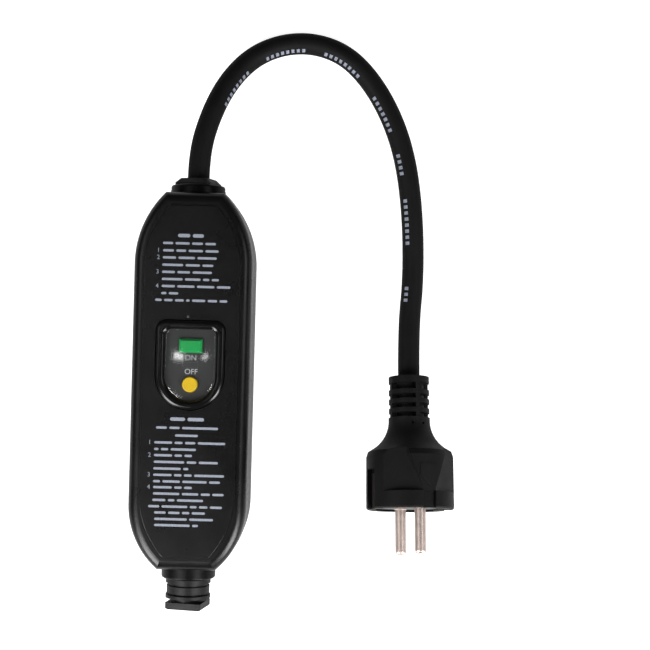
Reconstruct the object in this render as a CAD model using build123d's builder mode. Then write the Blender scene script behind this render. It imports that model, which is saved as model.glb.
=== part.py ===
from build123d import *
from math import asin, atan2, cos, degrees, hypot, pi, radians, sin, sqrt, tan
import os

# Portable residual current device: a two-shell housing with a window over two buttons, a short
# rubber lead to a moulded two-pin plug, and an open cable outlet at the other end.
# Millimetres. The origin is the middle of the housing's back, where it lies on a table.
# +Z comes out of the button face and +Y points to the end that the lead enters.
os.makedirs("parts", exist_ok=True)

# Housing shells
body_length = 161.5
body_width = 51.0
seam_height = 18.0
cover_height = 17.4
cover_draft = 0.5
panel_rise = 0.6
panel_inset = 5.2
panel_end_inset = 6.3
panel_corner_inset = 2.6
panel_taper_length = 27.5
panel_edge_round = 0.25
shell_wall = 2.2
end_flat_margin = 0.6
inlet_taper_length = 31.0
outlet_taper_length = 28.0
shoulder_round = 4.4
back_edge_round = 3.0
seam_bevel = 0.3
seal_width = 0.6
seal_height = 1.2
seal_inset = 0.9
seal_clearance = 0.1
ceiling_bevel_width = 2.6
ceiling_bevel_drop = 3.0

# Housing screws, driven from the back
housing_screw_inset = 5.8
housing_screw_gap = 0.35
housing_boss_radius = 3.75
housing_screw_radius = 1.45
housing_screw_head_radius = 2.8
housing_screw_head_height = 2.2
housing_screw_seat = 8.0
housing_screw_length = 20.0
pilot_spare = 1.0
screw_clearance = 0.1
counterbore_clearance = 0.3
drive_slot_reach = 1.5
drive_slot_width = 0.7
drive_slot_depth = 0.8

# Window, its frame and its membrane
window_y = 6.9
bezel_width = 29.3
bezel_length = 38.2
bezel_band = 3.9
bezel_corner = 4.5
bezel_inner_corner = 2.6
bezel_rise = 1.2
bezel_round = 1.7
bezel_seat_depth = 1.4
bezel_clearance = 0.2
ledge_inset = 3.4
flange_inset = 1.8
flange_thickness = 0.6
flange_clearance = 0.1
membrane_gap = 0.3
membrane_wall = 0.6
membrane_crown = 0.2
membrane_dome_radius = 100.0
membrane_edge_round = 0.4

# Button plate and buttons
plate_width = 30.0
plate_length = 41.0
plate_thickness = 2.0
plate_corner = 2.0
stake_x = 13.3
stake_offset = 17.5
stake_radius = 0.9
stake_head_radius = 1.6
stake_head_height = 0.8
stake_clearance = 0.1
button_x = 0.0
button_offset = 8.2
button_gap = 0.25
button_flange_clearance = 0.3
button_flange_height = 1.2
button_flange_overhang = 1.3
reset_length = 9.8
reset_width = 5.7
reset_rise = 2.0
reset_bevel = 0.8
reset_travel = 2.5
reset_stem_radius = 1.8
test_radius = 3.3
test_rise = 1.8
test_edge_round = 0.5
test_travel = 1.5
test_stem_radius = 1.5
lens_length = 6.0
lens_width = 2.4
lens_clearance = 0.05

# Circuit board
board_length = 101.0
board_width = 31.0
board_height = 6.5
board_thickness = 1.6
board_corner = 1.5
board_screw_x = 13.0
board_screw_ys = (-38.0, 34.0)
board_screw_radius = 1.1
board_screw_head_radius = 2.2
board_screw_head_height = 1.6
board_screw_length = 6.0
board_boss_radius = 2.75

# Trip mechanism: frame, guide pins, contact carrier and latch
frame_half_width = 11.5
frame_start_y = -6.0
frame_base_start_y = -4.0
frame_end_y = 28.0
frame_plate = 1.5
frame_clear_height = 12.4
frame_leg = 3.0
frame_leg_y_low = 2.0
frame_leg_y_high = 26.4
guide_pin_radius = 1.0
guide_pin_offset = 6.2
guide_boss_radius = 2.0
slide_clearance = 0.075
running_gap = 0.3
stem_clearance = 0.3
carrier_width = 10.0
carrier_length = 17.0
carrier_height = 4.5
carrier_travel = 2.0
carrier_base = 2.4
contact_strip = 0.8
contact_width = 5.0
contact_inner = 2.6
contact_outer = 11.1
contact_height = 1.5
rivet_radius = 1.5
rivet_height = 1.0
rivet_offset = 9.6
fixed_foot_inner = 12.0
fixed_foot_outer = 15.0
fixed_contact_width = 4.0
latch_thickness = 0.8
latch_half_width = 6.0
latch_end_y = 27.2
latch_tab_y = -6.5
latch_tab_thickness = 1.2
latch_tab_half_width = 4.0
latch_tab_rise = 3.7
trip_travel = 2.5

# Trip coil
coil_start_y = -34.0
coil_end_y = -14.0
coil_flange_size = 16.0
coil_flange_thickness = 1.2
coil_tube_radius = 3.3
coil_winding_radius = 7.0
coil_frame_plate = 1.2
plunger_radius = 2.5
plunger_start_y = -31.0
plunger_nose_radius = 1.5
plunger_nose_length = 2.0

# Springs: wire radius, mean coil radius
reset_spring_wire = 0.3
reset_spring_radius = 2.75
reset_spring_turns = 5
test_spring_wire = 0.25
test_spring_radius = 2.3
test_spring_turns = 5
carrier_spring_wire = 0.2
carrier_spring_radius = 1.75
carrier_spring_turns = 6
plunger_spring_wire = 0.25
plunger_spring_radius = 3.3
plunger_spring_turns = 6

# Test switch contacts under the test button's stem
test_contact_thickness = 0.6
test_contact_width = 2.0
test_contact_gap = 1.0
test_contact_outer = 11.0
test_contact_foot = 3.0

# Differential transformer and the conductors through it
transformer_y = 34.6
transformer_core_inner = 5.75
transformer_core_outer = 9.5
transformer_core_width = 5.5
winding_cover = 1.0
winding_angle = 300.0
transformer_lift = 1.2
holder_width = 18.0
holder_height = 5.0
primary_wire_radius = 0.8
primary_wire_x = 2.2
primary_wire_reach = 5.2
primary_wire_bend = 2.0

# Terminal blocks at both ends of the board
terminal_start_y = 41.2
terminal_depth = 8.5
terminal_width = 27.0
terminal_height = 10.0
terminal_pitch = 8.5
terminal_pocket = 6.2
terminal_pocket_depth = 7.0
terminal_floor = 1.2
terminal_clearance = 0.1
terminal_wire_hole = 1.8
terminal_wire_height = 2.6
terminal_screw_radius = 1.45
terminal_screw_head_radius = 2.1
terminal_screw_head_height = 1.4
terminal_screw_tip = 3.8
terminal_screw_top = 8.8
terminal_screw_well = 2.3

# Cable collars and grommets at the two ends
collar_flange_radius = 11.9
collar_flange_thickness = 1.2
collar_radius = 11.7
collar_round = 1.0
collar_bore = 9.85
collar_neck_radius = 10.6
collar_lip_radius = 11.3
collar_lip_thickness = 1.4
collar_fit = 0.1
inlet_collar_length = 3.6
outlet_collar_length = 4.95
grommet_head_size = 15.9
grommet_head_thickness = 3.0
grommet_head_chamfer = 0.8
grommet_neck_radius = 7.2
grommet_neck_length = 1.6
grommet_ring_radius = 9.75
grommet_middle_radius = 9.3
grommet_core_radius = 8.5
grommet_end_ring = 1.4
grommet_end_gap = 0.85
grommet_middle_ring = 3.05
grommet_middle_gap = 1.25
grommet_sleeve = 9.85
inlet_head_turn = -16.0
inlet_head_bevel_width = 1.8
inlet_head_bevel_length = 2.0
outlet_head_turn = 12.0
outlet_head_bevel = 0.5
outlet_grommet_reach = 18.2
grommet_bore_clearance = 0.1

# Cord clamps inside both ends
clamp_start_y = 59.0
clamp_depth = 6.0
clamp_half_width = 12.5
clamp_split = 0.6
clamp_bar_height = 7.4
clamp_groove_clearance = 0.1
clamp_screw_x = 9.0
clamp_screw_radius = 1.4
clamp_screw_head_radius = 2.6
clamp_screw_head_height = 1.8
clamp_screw_length = 17.0
clamp_hole_floor = 1.0

# Rubber cord and its conductors
cord_diameter = 9.5
cord_bend_share = 0.45
cord_sheath_end_y = 57.5
lead_radius = 1.3
lead_core_radius = 0.9
lead_spread = 1.7
lead_rise = 1.0
lead_drop = 2.0
lead_run = 1.8
lead_bend = 1.5
lead_insulation_end_y = 50.4
lead_core_end_y = 44.0

# Moulded plug, measured along its axis from the pin face back to the cord
plug_length = 57.7
plug_rest_clearance = 0.05
plug_heading = -88.6
plug_roll = 23.1
plug_rim_radius = 19.0
plug_rim_band = 7.1
plug_body_radius = 18.9
plug_body_end = 22.6
plug_rim_round = 0.6
plug_shoulder_radius = 18.15
plug_shoulder_station = 24.8
plug_flare_radius = 15.9
plug_flare_start = 26.2
plug_flare_middle_radius = 11.75
plug_flare_middle = 30.1
plug_neck_radius = 9.05
plug_neck_station = 39.7
facet_distance = 16.9
facet_centre_angle = 35.5
facet_cut_depth = 4.0
facet_overrun = 0.2
ridge_half_width_low = 2.3
ridge_half_width_high = 8.3
arrow_half_width = 4.2
arrow_point = 8.2
arrow_shoulder = 13.5
arrow_end = 18.5
arrow_rise = 0.4
guide_groove_width = 6.0
guide_groove_depth = 1.8
clip_recess_width = 7.0
clip_recess_depth = 2.6
clip_recess_length = 17.0
clip_width = 5.0
clip_thickness = 0.6
clip_length = 15.0
clip_turn = 4.4
clip_notch_clearance = 0.1
relief_ring_radius = 8.85
relief_core_radius = 6.4
relief_ring_width = 2.0
relief_pitch = 4.05
relief_end_ring = 2.9
relief_rings = 3
relief_spine_width = 2.0
core_hole_radius = 0.6
core_hole_floor = 7.8
core_hole_angle = 16.0
core_hole_station = 36.9
carrier_disc_radius = 14.9
carrier_disc_thickness = 14.0
carrier_disc_sink = 0.8
carrier_disc_clearance = 0.1
chamber_radius = 13.5
chamber_depth = 7.0

# Pins, earth contact and conductors in the plug
pin_radius = 2.4
pin_root_radius = 2.8
pin_length = 19.0
pin_pitch = 19.0
pin_tip_round = 1.4
pin_root_cone = 45.0
pin_fit = 0.05
pin_collar_radius = 3.2
pin_collar_thickness = 1.5
earth_offset = 10.0
earth_bore_radius = 2.5
earth_wall = 0.7
earth_lip = 1.0
plug_lead_radius = 1.2
plug_lead_spread = 1.7
plug_lead_rise = 2.0
plug_lead_drop = 0.9
plug_lead_run = 1.5
plug_lead_bend = 1.3

# Parts on the circuit board
component_x = 12.0
component_lift = 0.6
component_wire = 0.3
component_wire_run = 1.2
component_wire_bend = 0.6
component_round = 0.5
component_vent = 0.4
chip_y = -31.0
chip_width = 5.0
chip_length = 9.2
chip_height = 3.0
chip_standoff = 0.4
chip_legs = 4
chip_leg_pitch = 2.2
chip_leg_reach = 0.6
chip_leg_width = 0.6
electrolytic_y = -20.5
electrolytic_radius = 3.15
electrolytic_height = 11.0
film_y = -20.5
film_width = 5.0
film_length = 13.0
film_height = 10.0
varistor_y = -31.8
varistor_radius = 4.5
varistor_thickness = 3.6
varistor_leg = 2.5
resistor_y = -9.0
resistor_radius = 1.5
resistor_length = 6.5
diode_count = 4
diode_start_y = -14.6
diode_pitch = 2.8
diode_radius = 1.1
diode_length = 3.6
lamp_gap = 0.7
lamp_radius = 1.5
lamp_rim = 0.4
lamp_rim_height = 1.0
lamp_height = 5.0
lamp_round = 1.4
lamp_leg = 0.9

# Levels and places that follow from the sizes above
axis_height = seam_height
shoulder_top = seam_height + cover_height
face_height = shoulder_top + panel_rise
ceiling_height = shoulder_top - shell_wall
ceiling_bevel_height = ceiling_height - ceiling_bevel_drop
bezel_seat = face_height - bezel_seat_depth
bezel_top = face_height + bezel_rise
plate_top = ceiling_height
plate_bottom = plate_top - plate_thickness
button_flange_top = plate_bottom - button_flange_clearance
button_flange_bottom = button_flange_top - button_flange_height
reset_y = window_y + button_offset
test_y = window_y - button_offset
board_top = board_height + board_thickness
frame_base_top = board_top + frame_plate
shelf_bottom = frame_base_top + frame_clear_height
shelf_top = shelf_bottom + frame_plate
carrier_bottom = frame_base_top + carrier_base
carrier_top = carrier_bottom + carrier_height
moving_contact_bottom = carrier_bottom + contact_height
moving_contact_top = moving_contact_bottom + contact_strip
moving_rivet_top = moving_contact_top + rivet_height
fixed_rivet_bottom = moving_rivet_top + carrier_travel + running_gap
fixed_arm_bottom = fixed_rivet_bottom + rivet_height
fixed_arm_top = fixed_arm_bottom + contact_strip
latch_bottom = frame_base_top + running_gap
reset_stem_bottom = latch_bottom + reset_travel
coil_axis_height = board_top + coil_frame_plate + coil_flange_size / 2
test_contact_top = coil_axis_height + test_contact_thickness
test_stem_bottom = test_contact_top + running_gap + test_travel
transformer_outer = transformer_core_outer + winding_cover + running_gap
transformer_height = board_top + transformer_lift + transformer_outer
cord_radius = cord_diameter / 2
grommet_bore = cord_radius + grommet_bore_clearance
facet_end = plug_flare_start + facet_overrun
grommet_length = (
    grommet_head_thickness
    + grommet_neck_length
    + grommet_end_ring
    + grommet_end_gap
    + grommet_middle_ring
    + grommet_middle_gap
    + grommet_sleeve
)
inlet_grommet_reach = inlet_collar_length + grommet_head_thickness
end_face = body_length / 2
end_flat_half = collar_flange_radius + end_flat_margin
end_narrowing = body_width / 2 - end_flat_half
housing_screw_x = body_width / 2 - housing_screw_inset
housing_screw_y = board_length / 2 + housing_boss_radius + housing_screw_gap
lamp_bottom = plate_bottom - lamp_gap - lamp_height

# The cord's way from the inlet grommet round to the plug, chosen point by point.
# The last two points follow the plug, which lies on the table by its shoulder.
cord_end = Vector(94.07, 3.15, 11.76)
cord_lead_in = 22.0
cord_points = [
    Vector(0.0, end_face + inlet_grommet_reach, axis_height),
    Vector(0.0, 99.5, axis_height),
    Vector(4.5, 116.6, 15.2),
    Vector(11.1, 131.2, 11.0),
    Vector(21.0, 143.1, 6.8),
    Vector(34.0, 149.6, 4.9),
    Vector(48.4, 150.6, 4.85),
    Vector(62.5, 145.9, 4.85),
    Vector(73.9, 135.1, 4.85),
    Vector(83.5, 119.6, 4.85),
    Vector(90.3, 101.1, 4.85),
    Vector(94.2, 76.6, 4.85),
    Vector(95.4, 47.6, 4.85),
]

# The plug tilts until its shoulder rests on the table while the cord holds its tail up
plug_rest_arm = plug_length - plug_body_end
plug_tilt = degrees(
    atan2(plug_body_radius, plug_rest_arm)
    - asin((cord_end.Z - plug_rest_clearance) / hypot(plug_rest_arm, plug_body_radius))
)
plug_axis = Vector(
    cos(radians(plug_tilt)) * cos(radians(plug_heading)),
    cos(radians(plug_tilt)) * sin(radians(plug_heading)),
    sin(radians(plug_tilt)),
)
plug_side = Vector(-sin(radians(plug_heading)), cos(radians(plug_heading)), 0)
plug_up = plug_axis.cross(plug_side)
plug_pin_line = plug_side * sin(radians(plug_roll)) + plug_up * cos(radians(plug_roll))
plug_origin = cord_end + plug_axis * plug_length
plug_face = Plane(origin=plug_origin, x_dir=plug_pin_line, z_dir=plug_axis)
plug_section = Plane(
    origin=plug_origin, x_dir=plug_pin_line, z_dir=plug_pin_line.cross(plug_axis)
)
plug_line = Axis(plug_origin, plug_axis)
cord_points.append(cord_end - plug_axis * cord_lead_in)
cord_points.append(cord_end)


def write(piece, name):
    """Label a finished piece and write its file."""
    piece.part.label = name
    export_step(piece.part, f"parts/{name}.step")


def body_face(height, inset):
    """Face of the housing's outline at a height, drawn in all round by an inset."""
    half_width = body_width / 2 - inset
    half_length = body_length / 2 - inset
    with BuildSketch(Plane.XY.offset(height)) as face:
        with BuildLine():
            for sign, taper_length in ((1, inlet_taper_length), (-1, outlet_taper_length)):
                taper_start = end_face - taper_length
                radius = (end_narrowing**2 + taper_length**2) / (2 * end_narrowing) - inset
                fall = radius - sqrt(radius**2 - (half_length - taper_start) ** 2)
                arc_start = (half_width, sign * taper_start)
                arc_end = (half_width - fall, sign * half_length)
                Line((half_width, 0), arc_start)
                TangentArc(arc_start, arc_end, tangent=(0, sign))
                Line(arc_end, (0, sign * half_length))
            mirror(about=Plane.YZ)
        make_face()
    return face.sketch


def panel_face(height):
    """Face of the raised panel's outline, which has narrower ends than the housing's."""
    half_width = body_width / 2 - panel_inset
    half_length = body_length / 2 - panel_end_inset
    taper_start = half_length - panel_taper_length
    flat_half = end_flat_half - panel_corner_inset
    with BuildSketch(Plane.XY.offset(height)) as face:
        with BuildLine():
            Line((half_width, 0), (half_width, taper_start))
            TangentArc((half_width, taper_start), (flat_half, half_length), tangent=(0, 1))
            Line((flat_half, half_length), (0, half_length))
            mirror(about=Plane.YZ)
            mirror(about=Plane.XZ)
        make_face()
    return face.sketch


def window_face(height, inset, corner):
    """Face of the window's outline: square at the inlet end and round at the outlet end."""
    half_width = bezel_width / 2 - inset
    top = window_y + bezel_length / 2 - inset
    bow_centre = window_y - bezel_length / 2 + bezel_width / 2
    with BuildSketch(Plane.XY.offset(height)) as face:
        with BuildLine():
            Line((-half_width, bow_centre), (-half_width, top))
            Line((-half_width, top), (half_width, top))
            Line((half_width, top), (half_width, bow_centre))
            ThreePointArc(
                (half_width, bow_centre), (0, bow_centre - half_width), (-half_width, bow_centre)
            )
        make_face()
        fillet(face.vertices().group_by(Axis.Y)[-1], radius=corner)
    return face.sketch


def end_plane(sign, distance):
    """Plane across the cable axis, a distance outward from the housing's end face."""
    return Plane(
        origin=(0, sign * (end_face + distance), axis_height),
        x_dir=(1, 0, 0),
        z_dir=(0, sign, 0),
    )


def head_face(plane, size, turn):
    """Face of a grommet's square head with its corners cut."""
    with BuildSketch(plane) as face:
        Rectangle(size, size, rotation=turn)
        chamfer(face.vertices(), length=grommet_head_chamfer)
    return face.sketch


def plug_station(station):
    """Plane across the plug at a station behind its pin face."""
    return plug_face.offset(-station)


def four_corners(x, y):
    """The four mirrored places of one corner feature."""
    return [(x, y), (-x, y), (x, -y), (-x, -y)]


def spring(plane, height, mean_radius, wire, turns):
    """Open helical spring that stands on a plane."""
    rise = height - 2 * wire
    start = plane.offset(wire).origin
    with BuildPart() as coil:
        with BuildLine() as path:
            Helix(rise / turns, rise, mean_radius, center=start, direction=plane.z_dir)
        with BuildSketch(Plane(origin=path.line @ 0, z_dir=path.line % 0)):
            Circle(wire)
        sweep(is_frenet=True)
    return coil.part


def bent_wire(points, radius, bend):
    """Round wire along straight runs joined by bends."""
    with BuildPart() as wire:
        with BuildLine() as path:
            FilletPolyline(*points, radius=bend)
        with BuildSketch(Plane(origin=path.line @ 0, z_dir=path.line % 0)):
            Circle(radius)
        sweep()
    return wire.part


# Space inside the back shell: the bosses and cord saddles are what it leaves standing
with BuildPart() as back_cavity:
    extrude(body_face(shell_wall, shell_wall), amount=seam_height - shell_wall)
    with BuildSketch(Plane.XY.offset(shell_wall)):
        with Locations(*four_corners(housing_screw_x, housing_screw_y)):
            Circle(housing_boss_radius)
    extrude(amount=seam_height - shell_wall, mode=Mode.SUBTRACT)
    with BuildSketch(Plane.XY.offset(shell_wall)):
        with Locations(*[(side * board_screw_x, y) for side in (-1, 1) for y in board_screw_ys]):
            Circle(board_boss_radius)
    extrude(amount=board_height - shell_wall, mode=Mode.SUBTRACT)
    with BuildSketch(Plane.XY.offset(shell_wall)):
        with Locations(
            (0, clamp_start_y + clamp_depth / 2), (0, -clamp_start_y - clamp_depth / 2)
        ):
            Rectangle(2 * clamp_half_width, clamp_depth)
    extrude(amount=seam_height - clamp_split - shell_wall, mode=Mode.SUBTRACT)

with BuildPart() as back_shell:
    extrude(body_face(0, 0), amount=seam_height)
    fillet(back_shell.faces().sort_by(Axis.Z)[0].edges(), radius=back_edge_round)
    chamfer(back_shell.faces().sort_by(Axis.Z)[-1].edges(), length=seam_bevel)
    add(back_cavity.part, mode=Mode.SUBTRACT)
    # Gasket groove in the rim
    with BuildSketch(Plane.XY.offset(seam_height - seal_height)):
        add(body_face(0, seal_inset - seal_clearance))
        add(body_face(0, seal_inset + seal_width + seal_clearance), mode=Mode.SUBTRACT)
    extrude(amount=seal_height, mode=Mode.SUBTRACT)
    # Sunk screw holes from the back
    with BuildSketch(Plane.XY):
        with Locations(*four_corners(housing_screw_x, housing_screw_y)):
            Circle(housing_screw_head_radius + counterbore_clearance)
    extrude(amount=housing_screw_seat, mode=Mode.SUBTRACT)
    with BuildSketch(Plane.XY):
        with Locations(*four_corners(housing_screw_x, housing_screw_y)):
            Circle(housing_screw_radius + screw_clearance)
    extrude(amount=seam_height, mode=Mode.SUBTRACT)
    # Holes for the board screws and the clamp screws
    with BuildSketch(Plane.XY.offset(board_top - board_screw_length)):
        with Locations(*[(side * board_screw_x, y) for side in (-1, 1) for y in board_screw_ys]):
            Circle(board_screw_radius)
    extrude(amount=board_screw_length, mode=Mode.SUBTRACT)
    with BuildSketch(Plane.XY.offset(shell_wall + clamp_hole_floor)):
        with Locations(*four_corners(clamp_screw_x, clamp_start_y + clamp_depth / 2)):
            Circle(clamp_screw_radius + screw_clearance)
    extrude(amount=seam_height, mode=Mode.SUBTRACT)
    # Cord grooves in the saddles and the collar openings
    for sign in (-1, 1):
        with BuildSketch(end_plane(sign, clamp_start_y - end_face)):
            Circle(cord_radius + clamp_groove_clearance)
        extrude(amount=clamp_depth, mode=Mode.SUBTRACT)
        with BuildSketch(end_plane(sign, -shell_wall)):
            Circle(collar_neck_radius + collar_fit)
        extrude(amount=shell_wall, mode=Mode.SUBTRACT)
write(back_shell, "back_shell")

# Space inside the front cover, which leaves the screw posts standing
with BuildPart() as cover_cavity:
    extrude(body_face(seam_height, shell_wall), amount=ceiling_bevel_height - seam_height)
    loft(
        [
            body_face(ceiling_bevel_height, shell_wall),
            body_face(ceiling_height, shell_wall + ceiling_bevel_width),
        ],
        ruled=True,
    )
    with BuildSketch(Plane.XY.offset(seam_height)):
        with Locations(*four_corners(housing_screw_x, housing_screw_y)):
            Circle(housing_boss_radius)
    extrude(amount=cover_height, mode=Mode.SUBTRACT)

with BuildPart() as front_cover:
    loft([body_face(seam_height, 0), body_face(shoulder_top, cover_draft)], ruled=True)
    fillet(front_cover.faces().sort_by(Axis.Z)[-1].edges(), radius=shoulder_round)
    chamfer(front_cover.faces().sort_by(Axis.Z)[0].edges(), length=seam_bevel)
    extrude(panel_face(shoulder_top), amount=panel_rise)
    fillet(front_cover.faces().sort_by(Axis.Z)[-1].edges(), radius=panel_edge_round)
    add(cover_cavity.part, mode=Mode.SUBTRACT)
    # Window opening with its ledge and the frame's seat
    extrude(
        window_face(ceiling_height, ledge_inset, bezel_inner_corner),
        amount=face_height - ceiling_height,
        mode=Mode.SUBTRACT,
    )
    extrude(
        window_face(bezel_seat, -bezel_clearance, bezel_corner + bezel_clearance),
        amount=bezel_seat_depth,
        mode=Mode.SUBTRACT,
    )
    # Pilot holes in the screw posts
    with BuildSketch(Plane.XY.offset(seam_height)):
        with Locations(*four_corners(housing_screw_x, housing_screw_y)):
            Circle(housing_screw_radius + screw_clearance)
    pilot_depth = housing_screw_seat + housing_screw_length + pilot_spare - seam_height
    extrude(amount=pilot_depth, mode=Mode.SUBTRACT)
    # Collar openings
    for sign in (-1, 1):
        with BuildSketch(end_plane(sign, -shell_wall)):
            Circle(collar_neck_radius + collar_fit)
        extrude(amount=shell_wall, mode=Mode.SUBTRACT)
    # Stakes that hold the button plate up
    with BuildSketch(Plane.XY.offset(plate_top)):
        with Locations((0, window_y)):
            with Locations(*four_corners(stake_x, stake_offset)):
                Circle(stake_radius)
    extrude(amount=-plate_thickness - stake_head_height)
    with BuildSketch(Plane.XY.offset(plate_bottom)):
        with Locations((0, window_y)):
            with Locations(*four_corners(stake_x, stake_offset)):
                Circle(stake_head_radius)
    extrude(amount=-stake_head_height)
write(front_cover, "front_cover")

# Gasket in two runs, one along each side of the housing
with BuildPart() as housing_seal:
    with BuildSketch(Plane.XY.offset(seam_height - seal_height)):
        add(body_face(0, seal_inset))
        add(body_face(0, seal_inset + seal_width), mode=Mode.SUBTRACT)
    extrude(amount=seal_height)
    for sign in (-1, 1):
        with BuildSketch(end_plane(sign, -shell_wall)):
            Circle(collar_neck_radius + collar_fit)
        extrude(amount=shell_wall, mode=Mode.SUBTRACT)
write(housing_seal, "housing_seal")

with BuildPart() as housing_screws:
    with BuildSketch(Plane.XY.offset(housing_screw_seat - housing_screw_head_height)):
        with Locations(*four_corners(housing_screw_x, housing_screw_y)):
            Circle(housing_screw_head_radius)
    extrude(amount=housing_screw_head_height)
    with BuildSketch(Plane.XY.offset(housing_screw_seat)):
        with Locations(*four_corners(housing_screw_x, housing_screw_y)):
            Circle(housing_screw_radius)
    extrude(amount=housing_screw_length)
    with BuildSketch(Plane.XY.offset(housing_screw_seat - housing_screw_head_height)):
        with Locations(*four_corners(housing_screw_x, housing_screw_y)):
            Rectangle(drive_slot_reach * housing_screw_head_radius, drive_slot_width)
            Rectangle(drive_slot_width, drive_slot_reach * housing_screw_head_radius)
    extrude(amount=drive_slot_depth, mode=Mode.SUBTRACT)
write(housing_screws, "housing_screws")

# Window frame
with BuildPart() as window_bezel:
    extrude(window_face(bezel_seat, 0, bezel_corner), amount=bezel_top - bezel_seat)
    extrude(
        window_face(bezel_seat, bezel_band, bezel_inner_corner),
        amount=bezel_top - bezel_seat,
        mode=Mode.SUBTRACT,
    )
    fillet(window_bezel.faces().sort_by(Axis.Z)[-1].edges(), radius=bezel_round)
    extrude(
        window_face(bezel_seat, flange_inset - bezel_clearance, bezel_inner_corner),
        amount=flange_thickness + flange_clearance,
        mode=Mode.SUBTRACT,
    )
write(window_bezel, "window_bezel")

# Clear membrane: a flange under the frame and a domed cap in its opening
membrane_inset = bezel_band + membrane_gap
membrane_corner = bezel_inner_corner - membrane_gap
membrane_rise = bezel_top + membrane_crown - bezel_seat
dome_centre = bezel_top + membrane_crown - membrane_dome_radius
with BuildPart() as membrane_hollow:
    extrude(
        window_face(bezel_seat, membrane_inset + membrane_wall, membrane_corner - membrane_wall),
        amount=membrane_rise,
    )
    with Locations((0, window_y, dome_centre)):
        Sphere(membrane_dome_radius - membrane_wall, mode=Mode.INTERSECT)

with BuildPart() as window_membrane:
    extrude(window_face(bezel_seat, membrane_inset, membrane_corner), amount=membrane_rise)
    with Locations((0, window_y, dome_centre)):
        Sphere(membrane_dome_radius, mode=Mode.INTERSECT)
    fillet(window_membrane.faces().sort_by(Axis.Z)[-1].edges(), radius=membrane_edge_round)
    extrude(
        window_face(bezel_seat, flange_inset, bezel_inner_corner), amount=flange_thickness
    )
    add(membrane_hollow.part, mode=Mode.SUBTRACT)
write(window_membrane, "window_membrane")

# Plate under the window, with a hole for each button and the indicator
with BuildPart() as button_plate:
    with BuildSketch(Plane.XY.offset(plate_bottom)):
        with Locations((0, window_y)):
            RectangleRounded(plate_width, plate_length, plate_corner)
            with Locations(*four_corners(stake_x, stake_offset)):
                Circle(stake_radius + stake_clearance, mode=Mode.SUBTRACT)
        with Locations((button_x, reset_y)):
            Rectangle(reset_length + 2 * button_gap, reset_width + 2 * button_gap, mode=Mode.SUBTRACT)
        with Locations((button_x, test_y)):
            Circle(test_radius + button_gap, mode=Mode.SUBTRACT)
        with Locations((button_x, window_y)):
            Rectangle(lens_length, lens_width, mode=Mode.SUBTRACT)
    extrude(amount=plate_thickness)
write(button_plate, "button_plate")

with BuildPart() as indicator_lens:
    with BuildSketch(Plane.XY.offset(plate_bottom)):
        with Locations((button_x, window_y)):
            Rectangle(lens_length - 2 * lens_clearance, lens_width - 2 * lens_clearance)
    extrude(amount=plate_thickness)
write(indicator_lens, "indicator_lens")

# Reset button with its retaining flange and long stem
with BuildPart() as reset_button:
    with BuildSketch(Plane.XY.offset(button_flange_bottom)):
        with Locations((button_x, reset_y)):
            Rectangle(
                reset_length + 2 * button_flange_overhang, reset_width + 2 * button_flange_overhang
            )
    extrude(amount=button_flange_height)
    with BuildSketch(Plane.XY.offset(button_flange_top)):
        with Locations((button_x, reset_y)):
            Rectangle(reset_length, reset_width)
    extrude(amount=plate_top + reset_rise - button_flange_top)
    chamfer(reset_button.faces().sort_by(Axis.Z)[-1].edges(), length=reset_bevel)
    with BuildSketch(Plane.XY.offset(reset_stem_bottom)):
        with Locations((button_x, reset_y)):
            Circle(reset_stem_radius)
    extrude(amount=button_flange_bottom - reset_stem_bottom)
write(reset_button, "reset_button")

with BuildPart() as test_button:
    with BuildSketch(Plane.XY.offset(button_flange_bottom)):
        with Locations((button_x, test_y)):
            Circle(test_radius + button_flange_overhang)
    extrude(amount=button_flange_height)
    with BuildSketch(Plane.XY.offset(button_flange_top)):
        with Locations((button_x, test_y)):
            Circle(test_radius)
    extrude(amount=plate_top + test_rise - button_flange_top)
    fillet(test_button.faces().sort_by(Axis.Z)[-1].edges(), radius=test_edge_round)
    with BuildSketch(Plane.XY.offset(test_stem_bottom)):
        with Locations((button_x, test_y)):
            Circle(test_stem_radius)
    extrude(amount=button_flange_bottom - test_stem_bottom)
write(test_button, "test_button")

# Button springs between the mechanism's shelf and the button flanges
button_spring_height = button_flange_bottom - shelf_top
with BuildPart() as reset_spring:
    add(
        spring(
            Plane(origin=(button_x, reset_y, shelf_top)),
            button_spring_height,
            reset_spring_radius,
            reset_spring_wire,
            reset_spring_turns,
        )
    )
write(reset_spring, "reset_spring")

with BuildPart() as test_spring:
    add(
        spring(
            Plane(origin=(button_x, test_y, shelf_top)),
            button_spring_height,
            test_spring_radius,
            test_spring_wire,
            test_spring_turns,
        )
    )
write(test_spring, "test_spring")

# Circuit board on its four bosses
with BuildPart() as circuit_board:
    with BuildSketch(Plane.XY.offset(board_height)):
        RectangleRounded(board_width, board_length, board_corner)
        with Locations(*[(side * board_screw_x, y) for side in (-1, 1) for y in board_screw_ys]):
            Circle(board_screw_radius, mode=Mode.SUBTRACT)
    extrude(amount=board_thickness)
write(circuit_board, "circuit_board")

with BuildPart() as board_screws:
    with BuildSketch(Plane.XY.offset(board_top)):
        with Locations(*[(side * board_screw_x, y) for side in (-1, 1) for y in board_screw_ys]):
            Circle(board_screw_head_radius)
    extrude(amount=board_screw_head_height)
    with BuildSketch(Plane.XY.offset(board_top)):
        with Locations(*[(side * board_screw_x, y) for side in (-1, 1) for y in board_screw_ys]):
            Circle(board_screw_radius)
    extrude(amount=-board_screw_length)
write(board_screws, "board_screws")

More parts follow.
